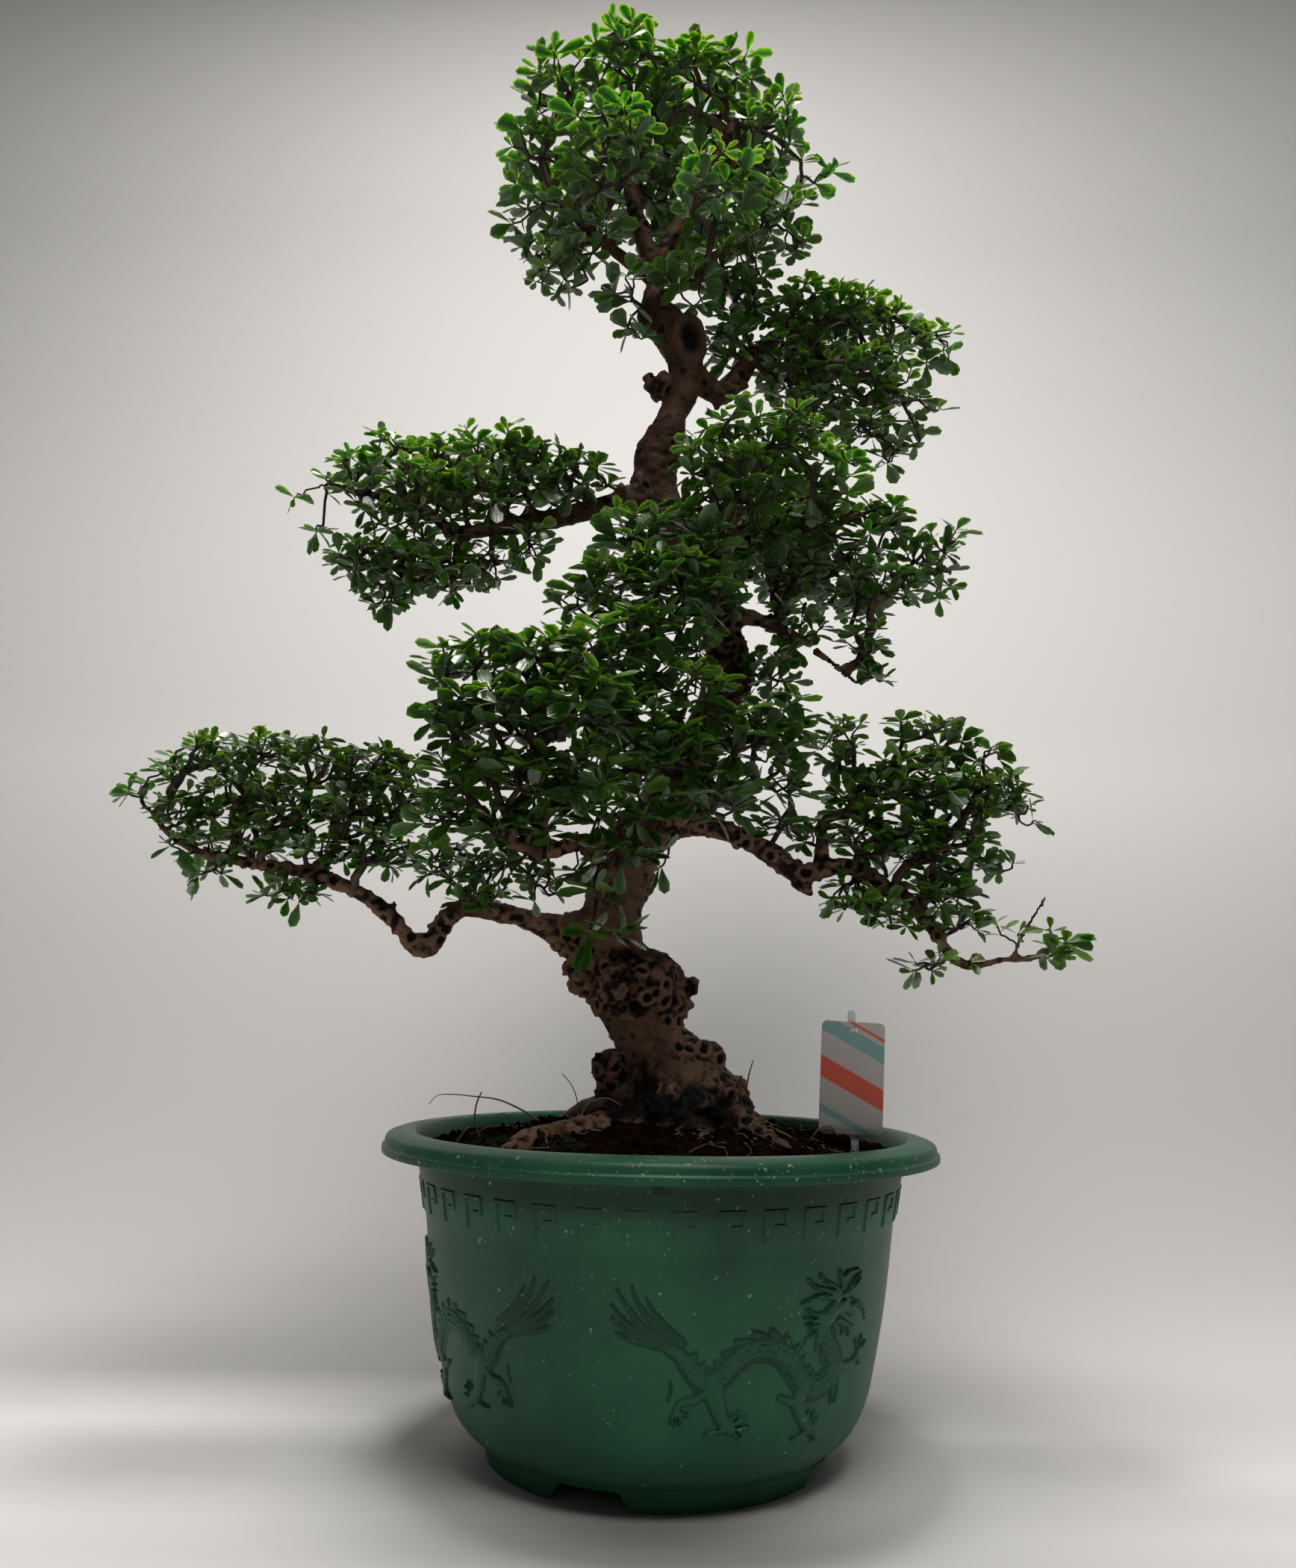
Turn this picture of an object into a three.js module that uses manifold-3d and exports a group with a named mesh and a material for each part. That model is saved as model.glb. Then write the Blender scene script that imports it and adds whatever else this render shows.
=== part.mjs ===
// A fukien tea bonsai in a round plastic pot with a plant label, at real size in millimetres, +Z up.
// Every place below is measured from the pot's axis and from the surface that the pot stands on.
// The last lines move the whole, so that the middle of its box stands over the origin.

import * as THREE from "three";
import { mergeVertices } from "three/addons/utils/BufferGeometryUtils.js";
import Module from "manifold-3d";

const wasm = await Module();
wasm.setup();

// Driving sizes
const GAP = 0.4; // between two pieces that touch
const WELD = 1e-4; // vertices closer than this are one
const TIDY = 0.03; // slivers thinner than this are closed up after a join
const AROUND = 30; // facets round the pot and the soil

const RIM_RADIUS = 200;
const RIM_INNER_RADIUS = 175;
const RIM_TOP = 217;
const RIM_BOTTOM = 202;
const LIP_THICKNESS = 3.5;
const WALL = 4;
const BAND_BOTTOM = 162.5;
const BAND_PROUD = 1.5;
const FOOT_RADIUS = 118;
const FOOT_HEIGHT = 14;
const FOOT_THICKNESS = 5;
const NOTCH_COUNT = 4;
const NOTCH_ANGLE = 27; // degrees of the foot ring that one notch takes
const NOTCH_HEIGHT = 11.5;
const NOTCH_TURN = -21.5; // degrees from the front to the first notch
const DRAIN_RADIUS = 7;
const DRAIN_CIRCLE = 70;
const DRAIN_COUNT = 4;

const SOIL_EDGE = 205; // height where the soil meets the wall
const SOIL_CROWN = 224; // height of the soil at the trunk
const SOIL_LUMP = 2.2;

const CARD_WIDTH = 45;
const CARD_HEIGHT = 78;
const CARD_THICKNESS = 1;
const CARD_CORNER = 4;
const CARD_BOTTOM = 222;
const CARD_HOLE_RADIUS = 2.5;
const CARD_HOLE_DROP = 6; // from the card's top edge to the hole's middle
const LABEL_X = 136;
const LABEL_Y = -42;
const STAKE_WIDTH = 5.5;
const STAKE_THICKNESS = 1.6;
const STAKE_BOTTOM = 160;
const STAKE_ABOVE_CARD = 5;

const BURL_FLATTENED = 0.85; // a burl's height as a part of its width

const LEAF_RIDGE = 2.4; // height of the low ridge, so a leaf is 0.8 thick on average
const LEAF_WIDTH = 0.55; // of its length
const LEAF_WIDEST = 0.64; // how far along its length it is widest
const LEAF_SHORTEST = 30;
const LEAF_LONGEST = 50;
const LEAF_ROOT = 0.14; // how far out from its middle a lobe's leaves are rooted, as a part of the lobe
const CORE = 0.3; // half width of a lobe's knot of twigs, as a part of the lobe's own
const FEWEST_LEAVES = 4; // in a lobe
const LEAF_AREA = 4050; // square millimetres of a lobe's surface for each leaf
const TWIG_RADIUS = 2.6;
const COLLAR = 9; // half width of the knot of twigs round the end of a pad's limb

// Places along the wood, each [x, y, z, half width]
const TRUNK = [
  [16, 4, 160, 34],
  [14, 2, 200, 52],
  [13, 0, 229, 54],
  [5, 0, 255, 42],
  [-4, 0, 277, 29],
  [-11, 0, 293, 29],
  [-20, 0, 320, 37],
  [-38, 0, 351, 26],
  [-38, 0, 387, 26],
  [-32, 0, 422, 23],
  [-7, 0, 454, 18],
  [22, 5, 506, 15],
  [45, 10, 556, 17],
  [42, 15, 601, 16],
  [23, 15, 651, 14],
  [5, 10, 684, 14],
  [-9, 5, 724, 17],
  [-5, 0, 770, 13],
  [6, 0, 807, 14],
  [12, 0, 834, 15],
  [2, 0, 861, 15],
  [-14, 0, 888, 10],
  [-17, 0, 915, 10],
  [-25, 0, 943, 9],
  [-38, 0, 990, 7],
  [-48, 0, 1040, 4],
];

const LIMBS = [
  // lower left limb, which dips and then reaches far out
  [[-40, 0, 372, 17], [-60, -3, 364, 14], [-82, -10, 362, 12], [-114, -15, 373, 8], [-150, -20, 374, 8],
    [-163, -20, 352, 8], [-181, -20, 341, 8], [-198, -20, 362, 7], [-231, -20, 391, 6], [-281, -20, 403, 5],
    [-332, -20, 403, 4]],
  // limb to the front left, under the middle pad
  [[-34, 0, 394, 12], [-44, -30, 402, 9], [-57, -60, 420, 7], [-84, -80, 410, 5], [-112, -92, 414, 4]],
  // upper left limb
  [[-8, 4, 716, 14], [-28, -2, 708, 11], [-55, -10, 697, 8], [-96, -15, 684, 7], [-137, -20, 674, 6],
    [-169, -20, 671, 5], [-205, -20, 694, 4]],
  // lower right limb and its rising end
  [[-14, 0, 440, 13], [13, 0, 442, 10], [42, 0, 438, 9], [73, 0, 426, 8], [97, 0, 410, 7], [113, 0, 403, 7],
    [121, 0, 422, 5], [120, 0, 448, 4]],
  // its long fork, which hangs and then runs out to the lowest tip
  [[110, 0, 404, 6], [128, 0, 412, 6], [144, 0, 418, 5], [164, 0, 411, 5], [184, 0, 399, 5], [199, 0, 380, 4],
    [207, 0, 358, 4], [232, 0, 339, 3], [262, 0, 345, 3], [288, 0, 348, 2.5]],
  // middle right limb
  [[40, 12, 600, 14], [59, 4, 612, 8], [80, 0, 590, 6], [112, 0, 588, 5]],
  // front right limb
  [[20, 14, 655, 11], [34, -14, 662, 7], [46, -40, 672, 5], [52, -60, 684, 4]],
  // upper right limb
  [[8, 0, 826, 13], [24, 8, 816, 11], [42, 20, 814, 10], [72, 30, 858, 7], [96, 30, 880, 5]],
  // limb to the small pad over the middle
  [[28, 14, 640, 10], [12, -16, 634, 6], [-6, -42, 630, 4]],
  // short limb in front of the trunk
  [[-16, 0, 446, 13], [0, -28, 440, 8], [16, -48, 446, 5]],
  // limbs at the back
  [[8, 10, 680, 12], [22, 48, 694, 7], [40, 84, 700, 5]],
  [[12, 4, 492, 13], [0, 46, 496, 7], [-12, 84, 500, 5]],
  // fork inside the crown
  [[-22, 0, 930, 8], [0, -6, 972, 6], [30, -8, 1020, 5], [52, -10, 1056, 4]],
];

const ROOTS = [
  [[2, -14, 232, 22], [-38, -38, 230, 14], [-72, -60, 226, 10], [-95, -90, 220, 7], [-112, -110, 200, 5]],
  [[34, 4, 232, 20], [70, 12, 226, 13], [98, 24, 212, 8], [116, 32, 194, 5]],
  [[18, -24, 230, 18], [28, -60, 223, 11], [34, -88, 210, 7], [36, -104, 194, 5]],
  [[12, 26, 232, 20], [2, 64, 224, 12], [-12, 94, 210, 8], [-18, 110, 194, 5]],
  [[-18, 12, 232, 18], [-54, 32, 224, 11], [-84, 48, 208, 7], [-98, 54, 194, 5]],
  [[36, -18, 228, 17], [68, -46, 221, 10], [92, -72, 206, 6], [104, -84, 192, 5]],
];

// Burls, stubs and swellings on the bark
const BURLS = [
  [-58, -4, 329, 18],
  [-28, -24, 325, 17],
  [12, -8, 321, 17],
  [-24, 24, 326, 18],
  [26, -6, 270, 15],
  [-41, -2, 266, 13],
  [62, -4, 238, 13],
  [-74, -6, 352, 10],
  [-162, -20, 346, 10],
  [52, 4, 554, 15],
  [-22, 2, 720, 13],
  [-12, 0, 812, 12],
  [20, -6, 854, 14],
  [-24, 8, 398, 16],
  [111, 0, 399, 9],
];

// Leafy pads: where each grows from its limb, then its lobes, each [x, y, z, half width, half height]
const DARK_GREEN = "#2f5a26";
const YOUNG_GREEN = "#4f8a2c";
const PADS = [
  {
    name: "leaves_crown",
    colour: YOUNG_GREEN,
    from: [-48, 0, 1042],
    lobes: [
      [-50, 0, 1096, 62, 50],
      [-62, -4, 1138, 36, 28],
      [-44, -72, 1040, 58, 50],
      [-50, 78, 1072, 58, 50],
      [-112, 0, 1056, 50, 48],
      [-110, -20, 968, 50, 46],
      [-100, 20, 918, 42, 34],
      [66, -10, 1084, 48, 40],
      [102, 0, 1024, 46, 44],
      [76, 0, 952, 50, 42],
      [-8, -80, 950, 54, 48],
      [-6, 84, 990, 60, 54],
      [10, -46, 882, 40, 30],
      [-34, -34, 846, 26, 24],
    ],
  },
  {
    name: "leaves_upper_right",
    colour: DARK_GREEN,
    from: [96, 30, 880],
    lobes: [
      [130, 20, 886, 52, 36],
      [196, 20, 862, 44, 38],
      [208, 20, 792, 37, 40],
      [146, 60, 828, 54, 42],
      [80, 64, 842, 42, 38],
      [184, 36, 758, 36, 27],
    ],
  },
  {
    name: "leaves_right_front",
    colour: YOUNG_GREEN,
    from: [52, -60, 684],
    lobes: [
      [42, -92, 714, 44, 34],
      [98, -82, 698, 46, 34],
      [136, -62, 672, 36, 28],
    ],
  },
  {
    name: "leaves_right_middle",
    colour: DARK_GREEN,
    from: [112, 0, 588],
    lobes: [
      [176, 0, 666, 52, 38],
      [100, 6, 640, 48, 42],
      [206, 8, 630, 36, 32],
      [144, 0, 584, 44, 34],
      [76, 44, 610, 40, 38],
      [54, 48, 672, 38, 42],
    ],
  },
  {
    name: "leaves_upper_left",
    colour: DARK_GREEN,
    from: [-205, -20, 694],
    lobes: [
      [-126, -24, 740, 52, 30],
      [-200, -20, 736, 50, 30],
      [-78, -30, 720, 34, 24],
      [-254, -20, 718, 42, 30],
      [-164, 26, 726, 54, 28],
      [-272, -20, 674, 30, 32],
    ],
  },
  {
    name: "leaves_upper_left_low",
    colour: DARK_GREEN,
    from: [-160, -20, 668],
    lobes: [
      [-158, -22, 638, 44, 25],
      [-112, -24, 652, 28, 26],
      [-226, -20, 624, 38, 30],
    ],
  },
  {
    name: "leaves_middle",
    colour: DARK_GREEN,
    from: [-112, -92, 414],
    lobes: [
      [-134, -110, 538, 44, 34],
      [-72, -122, 536, 46, 34],
      [-152, -108, 490, 36, 38],
      [-88, -128, 480, 52, 40],
      [-24, -114, 506, 46, 38],
      [-130, -110, 440, 46, 32],
      [-50, -116, 446, 46, 34],
    ],
  },
  {
    name: "leaves_middle_top",
    colour: DARK_GREEN,
    from: [-6, -42, 630],
    lobes: [
      [-28, -64, 626, 46, 38],
      [14, -74, 574, 40, 32],
      [-30, -100, 584, 34, 28],
    ],
  },
  {
    name: "leaves_trunk_front",
    colour: YOUNG_GREEN,
    from: [16, -48, 446],
    lobes: [
      [34, -86, 480, 42, 34],
      [70, -72, 462, 40, 30],
      [86, -60, 500, 28, 24],
    ],
  },
  {
    name: "leaves_lower_left",
    colour: DARK_GREEN,
    from: [-262, -20, 402],
    lobes: [
      [-370, -20, 462, 34, 32],
      [-316, -20, 480, 44, 34],
      [-260, -20, 476, 44, 34],
      [-208, -20, 460, 40, 34],
      [-276, -20, 436, 48, 28],
      [-184, -20, 420, 34, 28],
      [-336, -20, 434, 38, 26],
    ],
  },
  {
    name: "leaves_lower_right",
    colour: DARK_GREEN,
    from: [120, 0, 448],
    lobes: [
      [126, 0, 500, 36, 32],
      [180, 0, 504, 42, 36],
      [234, 0, 502, 41, 36],
      [208, 0, 456, 46, 33],
      [272, 0, 462, 34, 32],
      [160, 0, 450, 34, 28],
      [232, 0, 410, 38, 30],
    ],
  },
  {
    name: "leaves_lower_right_tip",
    colour: YOUNG_GREEN,
    from: [288, 0, 348],
    lobes: [[302, 0, 355, 22, 19]],
  },
  {
    name: "leaves_lower_right_low",
    colour: DARK_GREEN,
    from: [207, 0, 357],
    lobes: [[212, -14, 334, 28, 18]],
  },
  {
    name: "leaves_trunk_low",
    colour: DARK_GREEN,
    from: [-30, -24, 376],
    lobes: [
      [-28, -46, 364, 24, 17],
      [-8, -44, 394, 22, 20],
    ],
  },
  {
    name: "leaves_back_upper",
    colour: DARK_GREEN,
    from: [40, 84, 700],
    lobes: [
      [46, 110, 714, 50, 38],
      [100, 118, 702, 46, 34],
    ],
  },
  {
    name: "leaves_back_lower",
    colour: DARK_GREEN,
    from: [-12, 84, 500],
    lobes: [
      [-34, 112, 516, 50, 38],
      [26, 116, 500, 46, 36],
    ],
  },
];

// Seeded random numbers from 0 to 1, by a linear congruential rule
function randomFrom(seed) {
  const multiplier = 1664525;
  const increment = 1013904223;
  const modulus = 2 ** 32;
  let state = seed;
  return () => {
    state = (state * multiplier + increment) % modulus;
    return state / modulus;
  };
}

// A closed geometry as a solid that can be joined and cut
function solidOf(geometry) {
  const bare = geometry.clone();
  bare.deleteAttribute("normal");
  bare.deleteAttribute("uv");
  const welded = mergeVertices(bare, WELD);
  return new wasm.Manifold(
    new wasm.Mesh({
      numProp: 3,
      vertProperties: welded.attributes.position.array,
      triVerts: new Uint32Array(welded.index.array),
    }),
  );
}

function geometryOf(solid) {
  const mesh = solid.getMesh();
  const geometry = new THREE.BufferGeometry();
  geometry.setAttribute("position", new THREE.BufferAttribute(mesh.vertProperties, 3));
  geometry.setIndex(new THREE.BufferAttribute(mesh.triVerts, 1));
  const faceted = geometry.toNonIndexed();
  faceted.computeVertexNormals();
  return faceted;
}

function joined(solids) {
  return wasm.Manifold.union(solids).simplify(TIDY);
}

function largestBody(solid) {
  const bodies = solid.decompose();
  return bodies.reduce((most, body) => (body.volume() > most.volume() ? body : most)).simplify(TIDY);
}

function vector([x, y, z]) {
  return new THREE.Vector3(x, y, z);
}

// A closed round stick along a route of [x, y, z, half width], grown outwards by `grow`
function stick(route, sides, steps, grow = 0, roughness = 0) {
  const curve = new THREE.CatmullRomCurve3(route.map(vector));
  const frames = curve.computeFrenetFrames(steps, false);
  const geometry = new THREE.CylinderGeometry(1, 1, 1, sides, steps);
  const position = geometry.attributes.position;
  for (let i = 0; i < position.count; i += 1) {
    const step = Math.round((position.getY(i) + 0.5) * steps);
    const t = curve.getUtoTmapping(step / steps);
    const place = Math.min(t * (route.length - 1), route.length - 1.001);
    const before = Math.floor(place);
    const radius = THREE.MathUtils.lerp(route[before][3], route[before + 1][3], place - before);
    const across = position.getX(i);
    const along = position.getZ(i);
    const turn = Math.atan2(along, across);
    const bark = 1 + roughness * (Math.sin(3 * turn + step * 1.7) + Math.sin(2 * turn - step * 1.1));
    const reach = radius * bark + grow;
    const point = curve
      .getPoint(t)
      .addScaledVector(frames.binormals[step], across * reach)
      .addScaledVector(frames.normals[step], along * reach);
    position.setXYZ(i, point.x, point.y, point.z);
  }
  return solidOf(geometry);
}

// A lumpy ball of twenty facets with half widths [x, y, z]
function lump([x, y, z], halfWidths, roughness) {
  const geometry = new THREE.IcosahedronGeometry(1, 0);
  const position = geometry.attributes.position;
  const point = new THREE.Vector3();
  for (let i = 0; i < position.count; i += 1) {
    point.fromBufferAttribute(position, i);
    const swell = 1 + roughness * Math.sin(7 * point.x + x) * Math.sin(6 * point.y + y + 5 * point.z);
    position.setXYZ(
      i,
      x + point.x * halfWidths[0] * swell,
      y + point.y * halfWidths[1] * swell,
      z + point.z * halfWidths[2] * swell,
    );
  }
  return solidOf(geometry);
}

// The pot, from its foot up the outside, over the rim and down the inside
function potSolid() {
  const outer = new THREE.SplineCurve([
    new THREE.Vector2(FOOT_RADIUS + 4, FOOT_HEIGHT),
    new THREE.Vector2(138, 25),
    new THREE.Vector2(147.5, 44),
    new THREE.Vector2(155, 78),
    new THREE.Vector2(161, 114),
    new THREE.Vector2(167, BAND_BOTTOM),
  ]).getPoints(6);
  const floorTop = FOOT_HEIGHT + WALL;
  const underLip = RIM_TOP - LIP_THICKNESS - 4;
  const bandFoot = outer.at(-1);
  const bandHead = new THREE.Vector2(RIM_INNER_RADIUS + 1, underLip);
  const profile = [
    new THREE.Vector2(0, FOOT_HEIGHT),
    new THREE.Vector2(FOOT_RADIUS - FOOT_THICKNESS, FOOT_HEIGHT),
    new THREE.Vector2(FOOT_RADIUS - FOOT_THICKNESS, 0),
    new THREE.Vector2(FOOT_RADIUS, 0),
    new THREE.Vector2(FOOT_RADIUS + 2, FOOT_HEIGHT - 0.5),
    ...outer,
    new THREE.Vector2(bandFoot.x + BAND_PROUD, BAND_BOTTOM + BAND_PROUD),
    bandHead,
    new THREE.Vector2(RIM_RADIUS - LIP_THICKNESS, underLip),
    new THREE.Vector2(RIM_RADIUS - LIP_THICKNESS, RIM_BOTTOM),
    new THREE.Vector2(RIM_RADIUS, RIM_BOTTOM),
    new THREE.Vector2(RIM_RADIUS, RIM_BOTTOM + 5),
    new THREE.Vector2(RIM_RADIUS - 4, RIM_TOP - 3),
    new THREE.Vector2(RIM_RADIUS - 15, RIM_TOP),
    new THREE.Vector2(RIM_RADIUS - 20, RIM_TOP),
    new THREE.Vector2(RIM_INNER_RADIUS, RIM_TOP - 4),
    ...innerWall(),
    new THREE.Vector2(0, floorTop),
  ];
  const body = solidOf(turned(profile));
  const cuts = [];
  for (let i = 0; i < NOTCH_COUNT; i += 1) {
    cuts.push(footNotch(NOTCH_TURN + (i * 360) / NOTCH_COUNT));
  }
  for (let i = 0; i < DRAIN_COUNT; i += 1) {
    cuts.push(drainHole((i * 2 * Math.PI) / DRAIN_COUNT));
  }
  return body.subtract(joined(cuts));
}

// The inside of the wall, from under the rim down to the floor
function innerWall() {
  const curve = new THREE.SplineCurve([
    new THREE.Vector2(RIM_INNER_RADIUS - 5, 195),
    new THREE.Vector2(162.5, 150),
    new THREE.Vector2(157, 114),
    new THREE.Vector2(150.5, 74),
    new THREE.Vector2(142.5, 44),
    new THREE.Vector2(132, 28),
    new THREE.Vector2(116, FOOT_HEIGHT + WALL),
  ]);
  return curve.getPoints(4);
}

// A lathe about +Z of a profile of [radius, height] points
function turned(profile) {
  return new THREE.LatheGeometry(profile, AROUND).rotateX(Math.PI / 2);
}

function footNotch(degrees) {
  const half = FOOT_RADIUS * Math.sin(THREE.MathUtils.degToRad(NOTCH_ANGLE / 2));
  const slope = 9;
  const outline = new THREE.Shape([
    new THREE.Vector2(-half, -1),
    new THREE.Vector2(half, -1),
    new THREE.Vector2(half - slope, NOTCH_HEIGHT),
    new THREE.Vector2(slope - half, NOTCH_HEIGHT),
  ]);
  const reach = 40;
  const geometry = new THREE.ExtrudeGeometry(outline, { depth: reach, bevelEnabled: false });
  geometry.rotateX(Math.PI / 2);
  geometry.translate(0, -FOOT_RADIUS + reach / 2, 0);
  geometry.rotateZ(THREE.MathUtils.degToRad(degrees));
  return solidOf(geometry);
}

function drainHole(angle) {
  const geometry = new THREE.CylinderGeometry(DRAIN_RADIUS, DRAIN_RADIUS, 3 * WALL, 10);
  geometry.rotateX(Math.PI / 2);
  geometry.translate(
    DRAIN_CIRCLE * Math.cos(angle),
    DRAIN_CIRCLE * Math.sin(angle),
    FOOT_HEIGHT + WALL / 2,
  );
  return solidOf(geometry);
}

// Soil up to its mounded, lumpy top
function soilSolid() {
  const profile = [new THREE.Vector2(0, FOOT_HEIGHT + WALL + GAP)];
  innerWall()
    .reverse()
    .forEach((point) => profile.push(new THREE.Vector2(point.x - GAP - 0.6, point.y + GAP)));
  profile.push(new THREE.Vector2(RIM_INNER_RADIUS - 4, SOIL_EDGE));
  profile.push(new THREE.Vector2(140, SOIL_EDGE + 4));
  profile.push(new THREE.Vector2(88, SOIL_CROWN - 5));
  profile.push(new THREE.Vector2(50, SOIL_CROWN));
  profile.push(new THREE.Vector2(0, SOIL_CROWN));
  const geometry = turned(profile);
  const position = geometry.attributes.position;
  for (let i = 0; i < position.count; i += 1) {
    const x = position.getX(i);
    const y = position.getY(i);
    const z = position.getZ(i);
    const radius = Math.hypot(x, y);
    if (z > SOIL_EDGE && radius > 1) {
      position.setZ(i, z + SOIL_LUMP * Math.sin(x / 17) * Math.cos(y / 13));
    }
  }
  return solidOf(geometry);
}

// Trunk, limbs, surface roots and burls as one piece of wood, grown outwards by `grow`
function woodSolid(grow) {
  const pieces = [stick(TRUNK, 9, 32, grow, 0.035)];
  LIMBS.forEach((route) => pieces.push(stick(route, 5, Math.round(route.length * 1.2), grow)));
  ROOTS.forEach((route) => pieces.push(stick(route, 5, 4, grow)));
  BURLS.forEach(([x, y, z, radius]) => {
    const half = radius + grow;
    pieces.push(lump([x, y, z], [half, half, half * BURL_FLATTENED], 0.12));
  });
  return joined(pieces);
}

// One leaf as a thin closed solid: a kite with a low ridge, pointed at its root, widest past its middle
function leafGeometry(length) {
  const half = (length * LEAF_WIDTH) / 2;
  const wide = length * LEAF_WIDEST;
  const corners = {
    root: [0, 0, 0],
    right: [wide, -half, 0],
    tip: [length, 0, 0],
    left: [wide, half, 0],
    ridge: [wide, 0, LEAF_RIDGE],
  };
  const faces = [
    ["root", "right", "ridge"],
    ["right", "tip", "ridge"],
    ["tip", "left", "ridge"],
    ["left", "root", "ridge"],
    ["root", "tip", "right"],
    ["root", "left", "tip"],
  ];
  const places = faces.flatMap((face) => face.flatMap((corner) => corners[corner]));
  const geometry = new THREE.BufferGeometry();
  geometry.setAttribute("position", new THREE.Float32BufferAttribute(places, 3));
  return geometry;
}

// Leaves that stand out of one lobe's knot of twigs, spread evenly all round it by the golden angle
function lobeLeaves([x, y, z, halfWidth, halfHeight], random) {
  const goldenAngle = Math.PI * (3 - Math.sqrt(5));
  const area = 4 * Math.PI * halfWidth * (halfWidth * 0.4 + halfHeight * 0.6);
  const count = Math.max(FEWEST_LEAVES, Math.round(area / LEAF_AREA));
  const leaves = [];
  for (let i = 0; i < count; i += 1) {
    const up = 1 - (2 * (i + 0.5)) / count + (random() - 0.5) * 0.25;
    const turn = i * goldenAngle + random() * 0.8;
    const level = Math.sqrt(Math.max(0, 1 - up * up));
    const outwards = new THREE.Vector3(level * Math.cos(turn), level * Math.sin(turn), up);
    const reach = outwards.multiply(new THREE.Vector3(halfWidth, halfWidth, halfHeight));
    const edge = new THREE.Vector3(x, y, z).add(reach);
    const along = reach.clone().normalize();
    const length = THREE.MathUtils.clamp(reach.length() * (1 - LEAF_ROOT), LEAF_SHORTEST, LEAF_LONGEST);
    const side = new THREE.Vector3(2 * random() - 1, 2 * random() - 1, 1).cross(along).normalize();
    const face = new THREE.Vector3().crossVectors(along, side);
    const frame = new THREE.Matrix4().makeBasis(along, side, face);
    frame.setPosition(edge.clone().addScaledVector(along, -length));
    leaves.push(solidOf(leafGeometry(length).applyMatrix4(frame)));
  }
  return leaves;
}

// Twigs that join a pad's lobes: each lobe hangs on the nearest place that the twigs already reach
function padTwigs(pad) {
  const reached = [vector(pad.from)];
  const waiting = pad.lobes.map(vector);
  const twigs = [];
  while (waiting.length > 0) {
    let best = { far: Infinity };
    waiting.forEach((lobe, next) => {
      reached.forEach((place) => {
        const far = place.distanceTo(lobe);
        if (far < best.far) {
          best = { far, place, lobe, next };
        }
      });
    });
    const route = [best.place, best.lobe].map((point) => [...point.toArray(), TWIG_RADIUS]);
    twigs.push(stick(route, 3, 1));
    reached.push(best.lobe);
    waiting.splice(best.next, 1);
  }
  return twigs;
}

// A leafy pad: its twigs and knots, clear of the wood, with every leaf that stays clear of all else
function padSolid(pad, grownWood, others, seed) {
  const random = randomFrom(seed);
  const knots = pad.lobes.map(([x, y, z, halfWidth, halfHeight]) =>
    lump([x, y, z], [halfWidth * CORE, halfWidth * CORE, halfHeight * CORE], 0.15),
  );
  const collar = lump(pad.from, [COLLAR, COLLAR, COLLAR], 0.1);
  const inner = largestBody(joined([collar, ...padTwigs(pad), ...knots]).subtract(grownWood));
  const leaves = [];
  pad.lobes
    .flatMap((lobe) => lobeLeaves(lobe, random))
    .filter((leaf) => others.every((other) => leaf.minGap(other, GAP) >= GAP))
    .filter((leaf) => leaf.minGap(inner, GAP) < GAP)
    .forEach((leaf) => {
      if (leaves.every((other) => leaf.minGap(other, GAP) >= GAP)) {
        leaves.push(leaf);
      }
    });
  return largestBody(joined([inner, ...leaves]));
}

function cardSolid() {
  const half = CARD_WIDTH / 2;
  const outline = new THREE.Shape();
  outline.absarc(half - CARD_CORNER, CARD_CORNER, CARD_CORNER, -Math.PI / 2, 0);
  outline.absarc(half - CARD_CORNER, CARD_HEIGHT - CARD_CORNER, CARD_CORNER, 0, Math.PI / 2);
  outline.absarc(CARD_CORNER - half, CARD_HEIGHT - CARD_CORNER, CARD_CORNER, Math.PI / 2, Math.PI);
  outline.absarc(CARD_CORNER - half, CARD_CORNER, CARD_CORNER, Math.PI, 1.5 * Math.PI);
  const hole = new THREE.Path();
  hole.absarc(0, CARD_HEIGHT - CARD_HOLE_DROP, CARD_HOLE_RADIUS, 0, 2 * Math.PI, true);
  outline.holes.push(hole);
  const geometry = new THREE.ExtrudeGeometry(outline, {
    depth: CARD_THICKNESS,
    bevelEnabled: false,
    curveSegments: 3,
  });
  geometry.rotateX(Math.PI / 2);
  geometry.translate(LABEL_X, LABEL_Y - GAP, CARD_BOTTOM);
  return solidOf(geometry);
}

// The stake behind the card, with a peg through the card's hole; `grow` widens it for its hole in the soil
function stakeSolid(grow) {
  const top = CARD_BOTTOM + CARD_HEIGHT + STAKE_ABOVE_CARD;
  const length = top - STAKE_BOTTOM + grow;
  const strip = new THREE.BoxGeometry(STAKE_WIDTH + 2 * grow, STAKE_THICKNESS + 2 * grow, length);
  strip.translate(LABEL_X, LABEL_Y + STAKE_THICKNESS / 2, top - length / 2);
  const pegLength = CARD_THICKNESS + GAP + 2;
  const peg = new THREE.CylinderGeometry(CARD_HOLE_RADIUS - GAP, CARD_HOLE_RADIUS - GAP, pegLength, 8);
  peg.translate(LABEL_X, LABEL_Y + 1 - pegLength / 2, CARD_BOTTOM + CARD_HEIGHT - CARD_HOLE_DROP);
  return joined([solidOf(strip), solidOf(peg)]);
}

function addPiece(group, name, solid, colour, roughness) {
  const material = new THREE.MeshStandardMaterial({ color: colour, roughness, metalness: 0 });
  const mesh = new THREE.Mesh(geometryOf(solid), material);
  mesh.name = name;
  group.add(mesh);
}

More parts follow.
